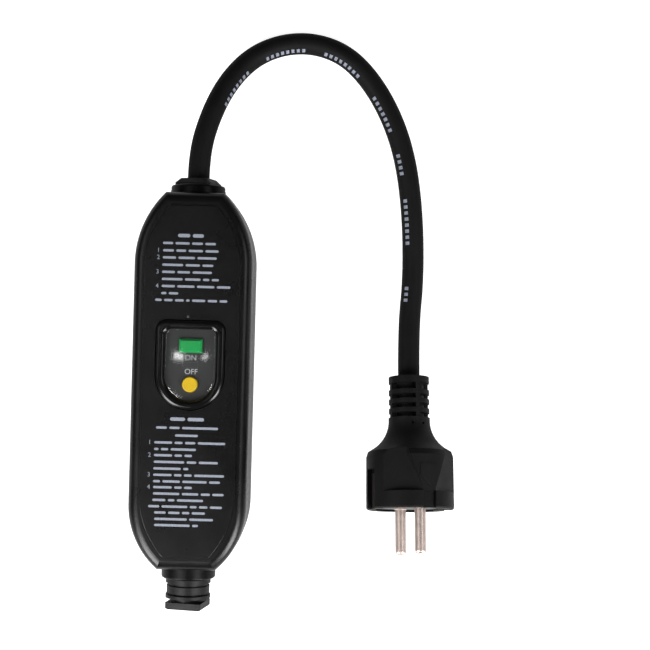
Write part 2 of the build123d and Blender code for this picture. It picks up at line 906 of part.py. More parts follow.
# Frame of the trip mechanism: a base, four legs and a shelf
guide_places = [(button_x, reset_y - guide_pin_offset), (button_x, reset_y + guide_pin_offset)]
with BuildPart() as mechanism_frame:
    with BuildSketch(Plane.XY.offset(board_top)):
        with Locations((0, (frame_base_start_y + frame_end_y) / 2)):
            Rectangle(2 * frame_half_width, frame_end_y - frame_base_start_y)
    extrude(amount=frame_plate)
    with BuildSketch(Plane.XY.offset(shelf_bottom)):
        with Locations((0, (frame_start_y + frame_end_y) / 2)):
            Rectangle(2 * frame_half_width, frame_end_y - frame_start_y)
    extrude(amount=frame_plate)
    leg_x = frame_half_width - frame_leg / 2
    with BuildSketch(Plane.XY.offset(frame_base_top)):
        with Locations(*[(s * leg_x, y) for s in (-1, 1) for y in (frame_leg_y_low, frame_leg_y_high)]):
            Rectangle(frame_leg, frame_leg)
    extrude(amount=frame_clear_height)
    with BuildSketch(Plane.XY.offset(frame_base_top)):
        with Locations(*guide_places):
            Circle(guide_boss_radius)
    extrude(amount=carrier_base - running_gap)
    with BuildSketch(Plane.XY.offset(board_top)):
        with Locations(*guide_places):
            Circle(guide_pin_radius)
    extrude(amount=shelf_top - board_top, mode=Mode.SUBTRACT)
    with BuildSketch(Plane.XY.offset(shelf_bottom)):
        with Locations((button_x, reset_y)):
            Circle(reset_stem_radius + stem_clearance)
        with Locations((button_x, test_y)):
            Circle(test_stem_radius + stem_clearance)
    extrude(amount=frame_plate, mode=Mode.SUBTRACT)
write(mechanism_frame, "mechanism_frame")

with BuildPart() as guide_pins:
    with BuildSketch(Plane.XY.offset(board_top)):
        with Locations(*guide_places):
            Circle(guide_pin_radius)
    extrude(amount=shelf_top - board_top)
write(guide_pins, "guide_pins")

# Contact carrier, which rises on the guide pins to close the contacts
with BuildPart() as contact_carrier:
    with BuildSketch(Plane.XY.offset(carrier_bottom)):
        with Locations((button_x, reset_y)):
            Rectangle(carrier_width, carrier_length)
            Circle(reset_stem_radius + stem_clearance, mode=Mode.SUBTRACT)
        with Locations(*guide_places):
            Circle(guide_pin_radius + slide_clearance, mode=Mode.SUBTRACT)
    extrude(amount=carrier_height)
    slot_centre = (contact_inner + contact_outer) / 2
    with BuildSketch(Plane.XY.offset(moving_contact_bottom)):
        with Locations((button_x - slot_centre, reset_y), (button_x + slot_centre, reset_y)):
            Rectangle(contact_outer - contact_inner, contact_width)
    extrude(amount=contact_strip, mode=Mode.SUBTRACT)
write(contact_carrier, "contact_carrier")

with BuildPart() as moving_contacts:
    with BuildSketch(Plane.XY.offset(moving_contact_bottom)):
        with Locations((button_x - slot_centre, reset_y), (button_x + slot_centre, reset_y)):
            Rectangle(contact_outer - contact_inner, contact_width)
    extrude(amount=contact_strip)
    with BuildSketch(Plane.XY.offset(moving_contact_top)):
        with Locations((button_x - rivet_offset, reset_y), (button_x + rivet_offset, reset_y)):
            Circle(rivet_radius)
    extrude(amount=rivet_height)
write(moving_contacts, "moving_contacts")

with BuildPart() as carrier_springs:
    for place in guide_places:
        add(
            spring(
                Plane(origin=(*place, carrier_top)),
                shelf_bottom - carrier_top,
                carrier_spring_radius,
                carrier_spring_wire,
                carrier_spring_turns,
            )
        )
write(carrier_springs, "carrier_springs")

# Fixed contacts: brass hooks that stand on the board and reach in over the moving ones
with BuildPart() as fixed_contacts:
    for side in (-1, 1):
        foot_centre = side * (fixed_foot_inner + fixed_foot_outer) / 2
        post_centre = side * (fixed_foot_outer - contact_strip / 2)
        rivet_x = button_x + side * rivet_offset
        arm_inner = rivet_x - side * rivet_radius
        arm_centre = (side * fixed_foot_outer + arm_inner) / 2
        with BuildSketch(Plane.XY.offset(board_top)):
            with Locations((foot_centre, reset_y)):
                Rectangle(fixed_foot_outer - fixed_foot_inner, fixed_contact_width)
        extrude(amount=contact_strip)
        with BuildSketch(Plane.XY.offset(board_top)):
            with Locations((post_centre, reset_y)):
                Rectangle(contact_strip, fixed_contact_width)
        extrude(amount=fixed_arm_top - board_top)
        with BuildSketch(Plane.XY.offset(fixed_arm_bottom)):
            with Locations((arm_centre, reset_y)):
                Rectangle(abs(side * fixed_foot_outer - arm_inner), fixed_contact_width)
        extrude(amount=contact_strip)
        with BuildSketch(Plane.XY.offset(fixed_rivet_bottom)):
            with Locations((rivet_x, reset_y)):
                Circle(rivet_radius)
        extrude(amount=rivet_height)
write(fixed_contacts, "fixed_contacts")

# Latch plate under the carrier, with a tab that the plunger pulls
latch_slot_start = reset_y - guide_pin_offset - guide_boss_radius - stem_clearance
latch_slot_end = reset_y + guide_pin_offset + guide_boss_radius + stem_clearance + trip_travel
with BuildPart() as latch_plate:
    with BuildSketch(Plane.XY.offset(latch_bottom)):
        with Locations((0, (latch_tab_y + latch_end_y) / 2)):
            Rectangle(2 * latch_half_width, latch_end_y - latch_tab_y)
        with Locations((button_x, (latch_slot_start + latch_slot_end) / 2)):
            Rectangle(
                2 * (guide_boss_radius + stem_clearance),
                latch_slot_end - latch_slot_start,
                mode=Mode.SUBTRACT,
            )
    extrude(amount=latch_thickness)
    with BuildSketch(Plane.XY.offset(latch_bottom)):
        with Locations((0, latch_tab_y + latch_tab_thickness / 2)):
            Rectangle(2 * latch_tab_half_width, latch_tab_thickness)
    extrude(amount=coil_axis_height + latch_tab_rise - latch_bottom)
    with BuildSketch(Plane.XZ.offset(-latch_tab_y)):
        with Locations((0, coil_axis_height)):
            Circle(plunger_nose_radius)
    extrude(amount=-latch_tab_thickness, mode=Mode.SUBTRACT)
write(latch_plate, "latch_plate")

# Trip coil: steel bracket, bobbin, winding and the plunger that it pulls in
with BuildPart() as trip_coil_frame:
    coil_frame_start = coil_start_y - coil_frame_plate
    coil_frame_end = coil_end_y + coil_frame_plate
    with BuildSketch(Plane.XY.offset(board_top)):
        with Locations((0, (coil_frame_start + coil_frame_end) / 2)):
            Rectangle(coil_flange_size, coil_frame_end - coil_frame_start)
    extrude(amount=coil_frame_plate)
    for y in (coil_start_y - coil_frame_plate / 2, coil_end_y + coil_frame_plate / 2):
        with BuildSketch(Plane.XY.offset(board_top)):
            with Locations((0, y)):
                Rectangle(coil_flange_size, coil_frame_plate)
        extrude(amount=coil_frame_plate + coil_flange_size)
    with BuildSketch(Plane.XZ.offset(-coil_end_y)):
        with Locations((0, coil_axis_height)):
            Circle(plunger_radius + running_gap)
    extrude(amount=-coil_frame_plate, mode=Mode.SUBTRACT)
write(trip_coil_frame, "trip_coil_frame")

with BuildPart() as coil_bobbin:
    with BuildSketch(Plane.XZ.offset(-coil_start_y)):
        with Locations((0, coil_axis_height)):
            Circle(coil_tube_radius)
    extrude(amount=coil_start_y - coil_end_y)
    for y in (coil_start_y, coil_end_y - coil_flange_thickness):
        with BuildSketch(Plane.XZ.offset(-y)):
            with Locations((0, coil_axis_height)):
                Rectangle(coil_flange_size, coil_flange_size)
        extrude(amount=-coil_flange_thickness)
    with BuildSketch(Plane.XZ.offset(-coil_start_y)):
        with Locations((0, coil_axis_height)):
            Circle(plunger_radius + slide_clearance)
    extrude(amount=coil_start_y - coil_end_y, mode=Mode.SUBTRACT)
write(coil_bobbin, "coil_bobbin")

with BuildPart() as coil_winding:
    with BuildSketch(Plane.XZ.offset(-coil_start_y - coil_flange_thickness)):
        with Locations((0, coil_axis_height)):
            Circle(coil_winding_radius)
            Circle(coil_tube_radius, mode=Mode.SUBTRACT)
    extrude(amount=coil_start_y - coil_end_y + 2 * coil_flange_thickness)
write(coil_winding, "coil_winding")

with BuildPart() as trip_plunger:
    with BuildSketch(Plane.XZ.offset(-plunger_start_y)):
        with Locations((0, coil_axis_height)):
            Circle(plunger_radius)
    extrude(amount=plunger_start_y - latch_tab_y)
    with BuildSketch(Plane.XZ.offset(-latch_tab_y)):
        with Locations((0, coil_axis_height)):
            Circle(plunger_nose_radius)
    extrude(amount=-plunger_nose_length)
write(trip_plunger, "trip_plunger")

with BuildPart() as plunger_spring:
    add(
        spring(
            Plane(
                origin=(0, coil_end_y + coil_frame_plate, coil_axis_height),
                x_dir=(1, 0, 0),
                z_dir=(0, 1, 0),
            ),
            latch_tab_y - coil_end_y - coil_frame_plate,
            plunger_spring_radius,
            plunger_spring_wire,
            plunger_spring_turns,
        )
    )
write(plunger_spring, "plunger_spring")

# Test contacts: two brass hooks whose tips the test stem bridges
with BuildPart() as test_contacts:
    for side in (-1, 1):
        tip = button_x + side * test_contact_gap / 2
        arm_centre = (side * test_contact_outer + tip) / 2
        foot_centre = side * (test_contact_outer - test_contact_foot / 2)
        post_centre = side * (test_contact_outer - test_contact_thickness / 2)
        with BuildSketch(Plane.XY.offset(frame_base_top)):
            with Locations((foot_centre, test_y)):
                Rectangle(test_contact_foot, test_contact_width)
        extrude(amount=test_contact_thickness)
        with BuildSketch(Plane.XY.offset(frame_base_top)):
            with Locations((post_centre, test_y)):
                Rectangle(test_contact_thickness, test_contact_width)
        extrude(amount=test_contact_top - frame_base_top)
        with BuildSketch(Plane.XY.offset(test_contact_top - test_contact_thickness)):
            with Locations((arm_centre, test_y)):
                Rectangle(abs(side * test_contact_outer - tip), test_contact_width)
        extrude(amount=test_contact_thickness)
write(test_contacts, "test_contacts")

# Differential transformer on its holder, with the two conductors through it
transformer_section = Plane(
    origin=(0, transformer_y, transformer_height), x_dir=(1, 0, 0), z_dir=(0, 0, 1)
)
transformer_line = Axis((0, transformer_y, transformer_height), (0, 1, 0))
core_middle = (transformer_core_inner + transformer_core_outer) / 2
core_depth = transformer_core_outer - transformer_core_inner
with BuildPart() as transformer_core:
    with BuildSketch(transformer_section):
        with Locations((core_middle, 0)):
            Rectangle(core_depth, transformer_core_width)
    revolve(axis=transformer_line, revolution_arc=360)
write(transformer_core, "transformer_core")

with BuildPart() as transformer_winding:
    with BuildSketch(transformer_section):
        with Locations((core_middle, 0)):
            Rectangle(core_depth + 2 * winding_cover, transformer_core_width + 2 * winding_cover)
            Rectangle(core_depth, transformer_core_width, mode=Mode.SUBTRACT)
    revolve(axis=transformer_line, revolution_arc=winding_angle)
write(transformer_winding, "transformer_winding")

with BuildPart() as transformer_holder:
    with BuildSketch(Plane.XY.offset(board_top)):
        with Locations((0, transformer_y)):
            Rectangle(holder_width, transformer_core_width + 2 * winding_cover)
    extrude(amount=holder_height)
    holder_start = transformer_y - transformer_core_width / 2 - winding_cover
    with BuildSketch(Plane.XZ.offset(-holder_start)):
        with Locations((0, transformer_height)):
            Circle(transformer_outer - running_gap)
    extrude(amount=-transformer_core_width - 2 * winding_cover, mode=Mode.SUBTRACT)
write(transformer_holder, "transformer_holder")

with BuildPart() as primary_conductors:
    start_y = transformer_y - primary_wire_reach
    end_y = transformer_y + primary_wire_reach
    for wire_x in (-primary_wire_x, primary_wire_x):
        wire_points = [
            (wire_x, start_y, board_top),
            (wire_x, start_y, transformer_height),
            (wire_x, end_y, transformer_height),
            (wire_x, end_y, board_top),
        ]
        add(bent_wire(wire_points, primary_wire_radius, primary_wire_bend))
write(primary_conductors, "primary_conductors")

# Terminal blocks, one at each end of the board
terminal_xs = (-terminal_pitch, 0, terminal_pitch)
terminal_end_y = terminal_start_y + terminal_depth
pocket_y = terminal_end_y - terminal_pocket_depth / 2
pocket_floor = board_top + terminal_floor
clamp_width = terminal_pocket - 2 * terminal_clearance
clamp_reach = terminal_pocket_depth - 2 * terminal_clearance
terminal_places = [(x, sign * pocket_y) for x in terminal_xs for sign in (-1, 1)]
lead_height = pocket_floor + terminal_wire_height
with BuildPart() as terminal_blocks:
    block_y = terminal_start_y + terminal_depth / 2
    with BuildSketch(Plane.XY.offset(board_top)):
        with Locations((0, block_y), (0, -block_y)):
            Rectangle(terminal_width, terminal_depth)
    extrude(amount=terminal_height)
    with BuildSketch(Plane.XY.offset(pocket_floor)):
        with Locations(*terminal_places):
            Rectangle(terminal_pocket, terminal_pocket_depth)
    extrude(amount=terminal_pocket, mode=Mode.SUBTRACT)
    with BuildSketch(Plane.XY.offset(pocket_floor)):
        with Locations(*terminal_places):
            Circle(terminal_screw_well)
    extrude(amount=terminal_height, mode=Mode.SUBTRACT)
write(terminal_blocks, "terminal_blocks")

with BuildPart() as terminal_clamps:
    with BuildSketch(Plane.XY.offset(pocket_floor)):
        with Locations(*terminal_places):
            Rectangle(clamp_width, clamp_reach)
    extrude(amount=clamp_width)
    with BuildSketch(Plane.XY.offset(lead_height)):
        with Locations(*terminal_places):
            Circle(terminal_screw_radius)
    extrude(amount=terminal_pocket, mode=Mode.SUBTRACT)
    with BuildSketch(Plane.XZ):
        with Locations(*[(x, lead_height) for x in terminal_xs]):
            Circle(terminal_wire_hole)
    extrude(amount=body_length / 2, both=True, mode=Mode.SUBTRACT)
write(terminal_clamps, "terminal_clamps")

with BuildPart() as terminal_screws:
    screw_top = board_top + terminal_screw_top
    with BuildSketch(Plane.XY.offset(pocket_floor + terminal_screw_tip)):
        with Locations(*terminal_places):
            Circle(terminal_screw_radius)
    extrude(amount=screw_top - pocket_floor - terminal_screw_tip)
    with BuildSketch(Plane.XY.offset(screw_top - terminal_screw_head_height)):
        with Locations(*terminal_places):
            Circle(terminal_screw_head_radius)
    extrude(amount=terminal_screw_head_height)
    with BuildSketch(Plane.XY.offset(screw_top)):
        with Locations(*terminal_places):
            Rectangle(drive_slot_reach * terminal_screw_head_radius, drive_slot_width)
    extrude(amount=-drive_slot_depth, mode=Mode.SUBTRACT)
write(terminal_screws, "terminal_screws")

# Collars and cord clamps at both ends
clamp_bottom_height = seam_height + clamp_split
clamp_top_height = clamp_bottom_height + clamp_bar_height
for end_name, sign, collar_length in (
    ("inlet", 1, inlet_collar_length),
    ("outlet", -1, outlet_collar_length),
):
    with BuildPart() as collar:
        with BuildSketch(end_plane(sign, collar_flange_thickness)):
            Circle(collar_radius)
        extrude(amount=collar_length - collar_flange_thickness)
        outer_face = collar.faces().sort_by(Axis.Y)[-1 if sign > 0 else 0]
        fillet(outer_face.edges(), radius=collar_round)
        with BuildSketch(end_plane(sign, 0)):
            Circle(collar_flange_radius)
        extrude(amount=collar_flange_thickness)
        with BuildSketch(end_plane(sign, -shell_wall)):
            Circle(collar_neck_radius)
        extrude(amount=shell_wall)
        with BuildSketch(end_plane(sign, -shell_wall)):
            Circle(collar_lip_radius)
        extrude(amount=-collar_lip_thickness)
        with BuildSketch(end_plane(sign, collar_length)):
            Circle(collar_bore)
        extrude(amount=-collar_length - shell_wall - collar_lip_thickness, mode=Mode.SUBTRACT)
    write(collar, f"{end_name}_collar")

    bar_y = sign * (clamp_start_y + clamp_depth / 2)
    with BuildPart() as cord_clamp:
        with BuildSketch(Plane.XY.offset(clamp_bottom_height)):
            with Locations((0, bar_y)):
                Rectangle(2 * clamp_half_width, clamp_depth)
        extrude(amount=clamp_bar_height)
        with BuildSketch(end_plane(sign, clamp_start_y - end_face)):
            Circle(cord_radius + clamp_groove_clearance)
        extrude(amount=clamp_depth, mode=Mode.SUBTRACT)
        with BuildSketch(Plane.XY.offset(clamp_bottom_height)):
            with Locations((clamp_screw_x, bar_y), (-clamp_screw_x, bar_y)):
                Circle(clamp_screw_radius + screw_clearance)
        extrude(amount=clamp_bar_height, mode=Mode.SUBTRACT)
    write(cord_clamp, f"{end_name}_cord_clamp")

with BuildPart() as clamp_screws:
    with BuildSketch(Plane.XY.offset(clamp_top_height)):
        with Locations(*four_corners(clamp_screw_x, clamp_start_y + clamp_depth / 2)):
            Circle(clamp_screw_head_radius)
    extrude(amount=clamp_screw_head_height)
    with BuildSketch(Plane.XY.offset(clamp_top_height)):
        with Locations(*four_corners(clamp_screw_x, clamp_start_y + clamp_depth / 2)):
            Circle(clamp_screw_radius)
    extrude(amount=-clamp_screw_length)
    with BuildSketch(Plane.XY.offset(clamp_top_height + clamp_screw_head_height)):
        with Locations(*four_corners(clamp_screw_x, clamp_start_y + clamp_depth / 2)):
            Rectangle(drive_slot_reach * clamp_screw_head_radius, drive_slot_width)
    extrude(amount=-drive_slot_depth, mode=Mode.SUBTRACT)
write(clamp_screws, "clamp_screws")

# Grommets: the same moulding, pushed home at the inlet and drawn out at the outlet
for end_name, sign, reach, turn, bevel_width, bevel_length in (
    (
        "inlet",
        1,
        inlet_grommet_reach,
        inlet_head_turn,
        inlet_head_bevel_width,
        inlet_head_bevel_length,
    ),
    (
        "outlet",
        -1,
        outlet_grommet_reach,
        outlet_head_turn,
        outlet_head_bevel,
        outlet_head_bevel,
    ),
):
    neck_start = grommet_head_thickness
    ring_start = neck_start + grommet_neck_length
    middle_start = ring_start + grommet_end_ring + grommet_end_gap
    sleeve_start = middle_start + grommet_middle_ring + grommet_middle_gap
    with BuildPart() as grommet:
        head_plane = end_plane(sign, reach - bevel_length)
        extrude(
            head_face(head_plane, grommet_head_size, turn),
            amount=bevel_length - grommet_head_thickness,
        )
        loft(
            [
                head_face(head_plane, grommet_head_size, turn),
                head_face(end_plane(sign, reach), grommet_head_size - 2 * bevel_width, turn),
            ],
            ruled=True,
        )
        with BuildSketch(end_plane(sign, reach - neck_start)):
            Circle(grommet_neck_radius)
        extrude(amount=-grommet_neck_length)
        with BuildSketch(end_plane(sign, reach - ring_start)):
            Circle(grommet_core_radius)
        extrude(amount=ring_start - grommet_length)
        with BuildSketch(end_plane(sign, reach - ring_start)):
            Circle(grommet_ring_radius)
        extrude(amount=-grommet_end_ring)
        with BuildSketch(end_plane(sign, reach - middle_start)):
            Circle(grommet_middle_radius)
        extrude(amount=-grommet_middle_ring)
        with BuildSketch(end_plane(sign, reach - sleeve_start)):
            Circle(grommet_ring_radius)
        extrude(amount=-grommet_sleeve)
        with BuildSketch(end_plane(sign, reach)):
            Circle(grommet_bore)
        extrude(amount=-grommet_length, mode=Mode.SUBTRACT)
    write(grommet, f"{end_name}_grommet")

# The cord in plain view: straight runs joined by bends that touch both of them
cord_bends = []
for before, corner, after in zip(cord_points, cord_points[1:], cord_points[2:]):
    half_turn = radians((corner - before).get_angle(after - corner)) / 2
    shorter_run = min((corner - before).length, (after - corner).length)
    cord_bends.append(cord_bend_share * shorter_run / tan(half_turn))
with BuildPart() as supply_cord:
    with BuildLine() as cord_path:
        FilletPolyline(*cord_points, radius=cord_bends)
    with BuildSketch(Plane(origin=cord_path.line @ 0, z_dir=cord_path.line % 0)):
        Circle(cord_radius)
    sweep()
write(supply_cord, "supply_cord")
cord_length = cord_path.wire().length
print("cord bend radii", [round(bend, 1) for bend in cord_bends])
print("cord length", round(cord_length, 2))
print("cord volume", round(supply_cord.part.volume, 1))
print("section by length", round(pi * cord_radius**2 * cord_length, 1))

# The cord's end in the housing and its three conductors
with BuildPart() as supply_cord_tail:
    with BuildSketch(end_plane(1, inlet_grommet_reach)):
        Circle(cord_radius)
    extrude(amount=cord_sheath_end_y - end_face - inlet_grommet_reach)
write(supply_cord_tail, "supply_cord_tail")

for lead_name, start_x, start_rise, target_x in (
    ("line_lead", -lead_spread, lead_rise, -terminal_pitch),
    ("neutral_lead", lead_spread, lead_rise, terminal_pitch),
    ("earth_lead", 0, -lead_drop, 0),
):
    lead_points = [
        (start_x, cord_sheath_end_y, axis_height + start_rise),
        (start_x, cord_sheath_end_y - lead_run, axis_height + start_rise),
        (target_x, lead_insulation_end_y + lead_run, lead_height),
        (target_x, lead_insulation_end_y, lead_height),
    ]
    with BuildPart() as lead:
        add(bent_wire(lead_points, lead_radius, lead_bend))
        with BuildSketch(Plane.XZ.offset(-lead_insulation_end_y)):
            with Locations((target_x, lead_height)):
                Circle(lead_core_radius)
        extrude(amount=lead_insulation_end_y - lead_core_end_y)
    write(lead, lead_name)

# Plug moulding: a turned body, then its finger facets, ridges and grooves
plug_ridge_plane = Plane(
    origin=plug_origin, x_dir=plug_axis.cross(plug_pin_line), z_dir=plug_pin_line
)
with BuildPart() as facet_cuts:
    with BuildSketch(plug_station(plug_rim_band)):
        for facet_angle in (
            facet_centre_angle,
            -facet_centre_angle,
            180 - facet_centre_angle,
            180 + facet_centre_angle,
        ):
            with PolarLocations(facet_distance + facet_cut_depth / 2, 1, facet_angle):
                Rectangle(facet_cut_depth, 2 * plug_rim_radius)
    extrude(amount=plug_rim_band - facet_end)
    with BuildSketch(plug_ridge_plane):
        with BuildLine():
            Polyline(
                (-ridge_half_width_low, -plug_rim_band),
                (ridge_half_width_low, -plug_rim_band),
                (ridge_half_width_high, -plug_body_end),
                (ridge_half_width_high, -facet_end),
                (-ridge_half_width_high, -facet_end),
                (-ridge_half_width_high, -plug_body_end),
                close=True,
            )
        make_face()
    extrude(amount=2 * plug_rim_radius, both=True, mode=Mode.SUBTRACT)

with BuildPart() as arrow_pads:
    with BuildSketch(plug_station(arrow_point)):
        Circle(plug_body_radius + arrow_rise)
    extrude(amount=arrow_point - arrow_end)
    with BuildSketch(plug_ridge_plane):
        with BuildLine():
            Polyline(
                (0, -arrow_point),
                (arrow_half_width, -arrow_shoulder),
                (arrow_half_width, -arrow_end),
                (-arrow_half_width, -arrow_end),
                (-arrow_half_width, -arrow_shoulder),
                close=True,
            )
        make_face()
    extrude(amount=2 * plug_rim_radius, both=True, mode=Mode.INTERSECT)

disc_back = carrier_disc_sink + carrier_disc_thickness
chamber_end = disc_back + chamber_depth
clip_seat = plug_rim_radius - clip_recess_depth
with BuildPart() as plug_body:
    with BuildSketch(plug_section):
        with BuildLine():
            Polyline(
                (0, 0),
                (plug_rim_radius - plug_rim_round, 0),
                (plug_rim_radius, -plug_rim_round),
                (plug_rim_radius, -plug_rim_band),
                (plug_body_radius, -plug_body_end),
                (plug_shoulder_radius, -plug_shoulder_station),
                (plug_flare_radius, -plug_flare_start),
            )
            ThreePointArc(
                (plug_flare_radius, -plug_flare_start),
                (plug_flare_middle_radius, -plug_flare_middle),
                (plug_neck_radius, -plug_neck_station),
            )
            Polyline(
                (plug_neck_radius, -plug_neck_station),
                (relief_core_radius, -plug_neck_station),
                (relief_core_radius, -plug_length),
                (0, -plug_length),
                (0, 0),
            )
        make_face()
    revolve(axis=plug_line, revolution_arc=360)
    add(facet_cuts.part, mode=Mode.SUBTRACT)
    add(arrow_pads.part)
    # Bend relief: rings joined by four spines
    for ring in range(relief_rings):
        with BuildSketch(plug_station(plug_neck_station + relief_ring_width + ring * relief_pitch)):
            Circle(relief_ring_radius)
        extrude(amount=-relief_ring_width)
    with BuildSketch(plug_station(plug_length - relief_end_ring)):
        Circle(relief_ring_radius)
    extrude(amount=-relief_end_ring)
    with BuildSketch(plug_station(plug_neck_station)):
        Rectangle(2 * relief_ring_radius, relief_spine_width)
        Rectangle(relief_spine_width, 2 * relief_ring_radius)
        Circle(relief_ring_radius, mode=Mode.INTERSECT)
    extrude(amount=plug_neck_station + relief_end_ring - plug_length)
    # Guide grooves in line with the pins, and the recesses for the earth clips
    with BuildSketch(plug_face):
        with PolarLocations(plug_rim_radius, 2):
            Rectangle(2 * guide_groove_depth, guide_groove_width)
    extrude(amount=-plug_rim_band, mode=Mode.SUBTRACT)
    with BuildSketch(plug_face):
        with PolarLocations(plug_rim_radius, 2, 90):
            Rectangle(2 * clip_recess_depth, clip_recess_width)
    extrude(amount=-clip_recess_length, mode=Mode.SUBTRACT)
    with BuildSketch(plug_face):
        Rectangle(clip_width + 2 * clip_notch_clearance, 2 * plug_rim_radius)
    extrude(amount=-carrier_disc_sink, mode=Mode.SUBTRACT)
    # Pocket for the pin carrier, room for the conductors and the cord's bore
    with BuildSketch(plug_face):
        Circle(carrier_disc_radius + carrier_disc_clearance)
    extrude(amount=-disc_back, mode=Mode.SUBTRACT)
    with BuildSketch(plug_face):
        Circle(chamber_radius)
    extrude(amount=-chamber_end, mode=Mode.SUBTRACT)
    with BuildSketch(plug_face):
        Circle(grommet_bore)
    extrude(amount=-plug_length, mode=Mode.SUBTRACT)
    # Small moulding holes in the neck, two on each side of the pin line
    for angle in (core_hole_angle, -core_hole_angle, 180 + core_hole_angle, 180 - core_hole_angle):
        hole_line = plug_pin_line.rotate(Axis((0, 0, 0), plug_axis), angle)
        hole_origin = plug_origin - plug_axis * core_hole_station + hole_line * plug_rim_radius
        with BuildSketch(Plane(origin=hole_origin, z_dir=hole_line)):
            Circle(core_hole_radius)
        extrude(amount=core_hole_floor - plug_rim_radius, mode=Mode.SUBTRACT)
write(plug_body, "plug_body")

pin_places = [(pin_pitch / 2, 0), (-pin_pitch / 2, 0)]
with BuildPart() as plug_pin_carrier:
    with BuildSketch(plug_station(carrier_disc_sink)):
        Circle(carrier_disc_radius)
        with Locations(*pin_places):
            Circle(pin_root_radius + pin_fit, mode=Mode.SUBTRACT)
        with Locations((0, earth_offset)):
            Circle(earth_bore_radius, mode=Mode.SUBTRACT)
    extrude(amount=-carrier_disc_thickness)
    with BuildSketch(plug_station(carrier_disc_sink + earth_lip)):
        with Locations((0, earth_offset)):
            Circle(earth_bore_radius + earth_wall + pin_fit)
    extrude(amount=earth_lip - carrier_disc_thickness, mode=Mode.SUBTRACT)
write(plug_pin_carrier, "plug_pin_carrier")

with BuildPart() as plug_pins:
    with BuildSketch(plug_face.offset(pin_length)):
        with Locations(*pin_places):
            Circle(pin_radius)
    extrude(amount=-pin_length - disc_back)
    tip_edges = plug_pins.edges().filter_by(GeomType.CIRCLE).group_by(plug_line)[-1]
    fillet(tip_edges, radius=pin_tip_round)
    # Thicker root in the carrier, with a cone just in front of its face
    with BuildSketch(plug_station(carrier_disc_sink)):
        with Locations(*pin_places):
            Circle(pin_root_radius)
    extrude(amount=-carrier_disc_thickness)
    with BuildSketch(plug_station(carrier_disc_sink)):
        with Locations(*pin_places):
            Circle(pin_root_radius)
    extrude(amount=pin_root_radius - pin_radius, taper=pin_root_cone)
    with BuildSketch(plug_station(disc_back)):
        with Locations(*pin_places):
            Circle(pin_collar_radius)
    extrude(amount=-pin_collar_thickness)
write(plug_pins, "plug_pins")

with BuildPart() as earth_socket:
    with BuildSketch(plug_station(carrier_disc_sink + earth_lip)):
        with Locations((0, earth_offset)):
            Circle(earth_bore_radius + earth_wall)
    extrude(amount=earth_lip - carrier_disc_thickness - pin_collar_thickness)
    with BuildSketch(plug_station(carrier_disc_sink + earth_lip)):
        with Locations((0, earth_offset)):
            Circle(earth_bore_radius)
    extrude(amount=earth_lip - carrier_disc_thickness, mode=Mode.SUBTRACT)
write(earth_socket, "earth_socket")

# Earth clips: each lies in its side recess and turns in over the pin carrier's face
with BuildPart() as earth_clips:
    for sign in (-1, 1):
        with BuildSketch(plug_station(carrier_disc_sink - clip_thickness)):
            with Locations((0, sign * (clip_seat + clip_thickness / 2))):
                Rectangle(clip_width, clip_thickness)
        extrude(amount=-clip_length)
        with BuildSketch(plug_station(carrier_disc_sink - clip_thickness)):
            with Locations((0, sign * (clip_seat + clip_thickness - clip_turn / 2))):
                Rectangle(clip_width, clip_turn)
        extrude(amount=-clip_thickness)
write(earth_clips, "earth_clips")

with BuildPart() as plug_cord_tail:
    with BuildSketch(plug_station(chamber_end)):
        Circle(cord_radius)
    extrude(amount=chamber_end - plug_length)
write(plug_cord_tail, "plug_cord_tail")

tail_end = disc_back + pin_collar_thickness
with BuildPart() as plug_leads:
    for start_place, end_place in (
        ((plug_lead_spread, -plug_lead_drop), pin_places[0]),
        ((-plug_lead_spread, -plug_lead_drop), pin_places[1]),
        ((0, plug_lead_rise), (0, earth_offset)),
    ):
        plug_lead_points = [
            plug_station(chamber_end).from_local_coords((*start_place, 0)),
            plug_station(chamber_end - plug_lead_run).from_local_coords((*start_place, 0)),
            plug_station(tail_end + plug_lead_run).from_local_coords((*end_place, 0)),
            plug_station(tail_end).from_local_coords((*end_place, 0)),
        ]
        add(bent_wire(plug_lead_points, plug_lead_radius, plug_lead_bend))
write(plug_leads, "plug_leads")

# Parts on the circuit board
with BuildPart() as control_chip:
    chip_base = board_top + chip_standoff
    with BuildSketch(Plane.XY.offset(chip_base)):
        with Locations((component_x, chip_y)):
            Rectangle(chip_width, chip_length)
    extrude(amount=chip_height)
    leg_offset = (chip_width + chip_leg_reach) / 2
    with BuildSketch(Plane.XY.offset(board_top)):
        with Locations((component_x, chip_y)):
            for side in (-1, 1):
                with Locations((side * leg_offset, 0)):
                    with GridLocations(0, chip_leg_pitch, 1, chip_legs):
                        Rectangle(chip_leg_reach, chip_leg_width)
    extrude(amount=chip_standoff + chip_height / 2)
write(control_chip, "control_chip")

with BuildPart() as smoothing_capacitor:
    with BuildSketch(Plane.XY.offset(board_top)):
        with Locations((component_x, electrolytic_y)):
            Circle(electrolytic_radius)
    extrude(amount=electrolytic_height)
    fillet(smoothing_capacitor.faces().sort_by(Axis.Z)[-1].edges(), radius=component_round)
    with BuildSketch(Plane.XY.offset(board_top + electrolytic_height)):
        with Locations((component_x, electrolytic_y)):
            Rectangle(electrolytic_radius, component_vent)
            Rectangle(component_vent, electrolytic_radius)
    extrude(amount=-component_vent, mode=Mode.SUBTRACT)
write(smoothing_capacitor, "smoothing_capacitor")

with BuildPart() as film_capacitor:
    with BuildSketch(Plane.XY.offset(board_top)):
        with Locations((-component_x, film_y)):
            Rectangle(film_width, film_length)
    extrude(amount=film_height)
    fillet(film_capacitor.edges().filter_by(Axis.Z), radius=component_round)
write(film_capacitor, "film_capacitor")

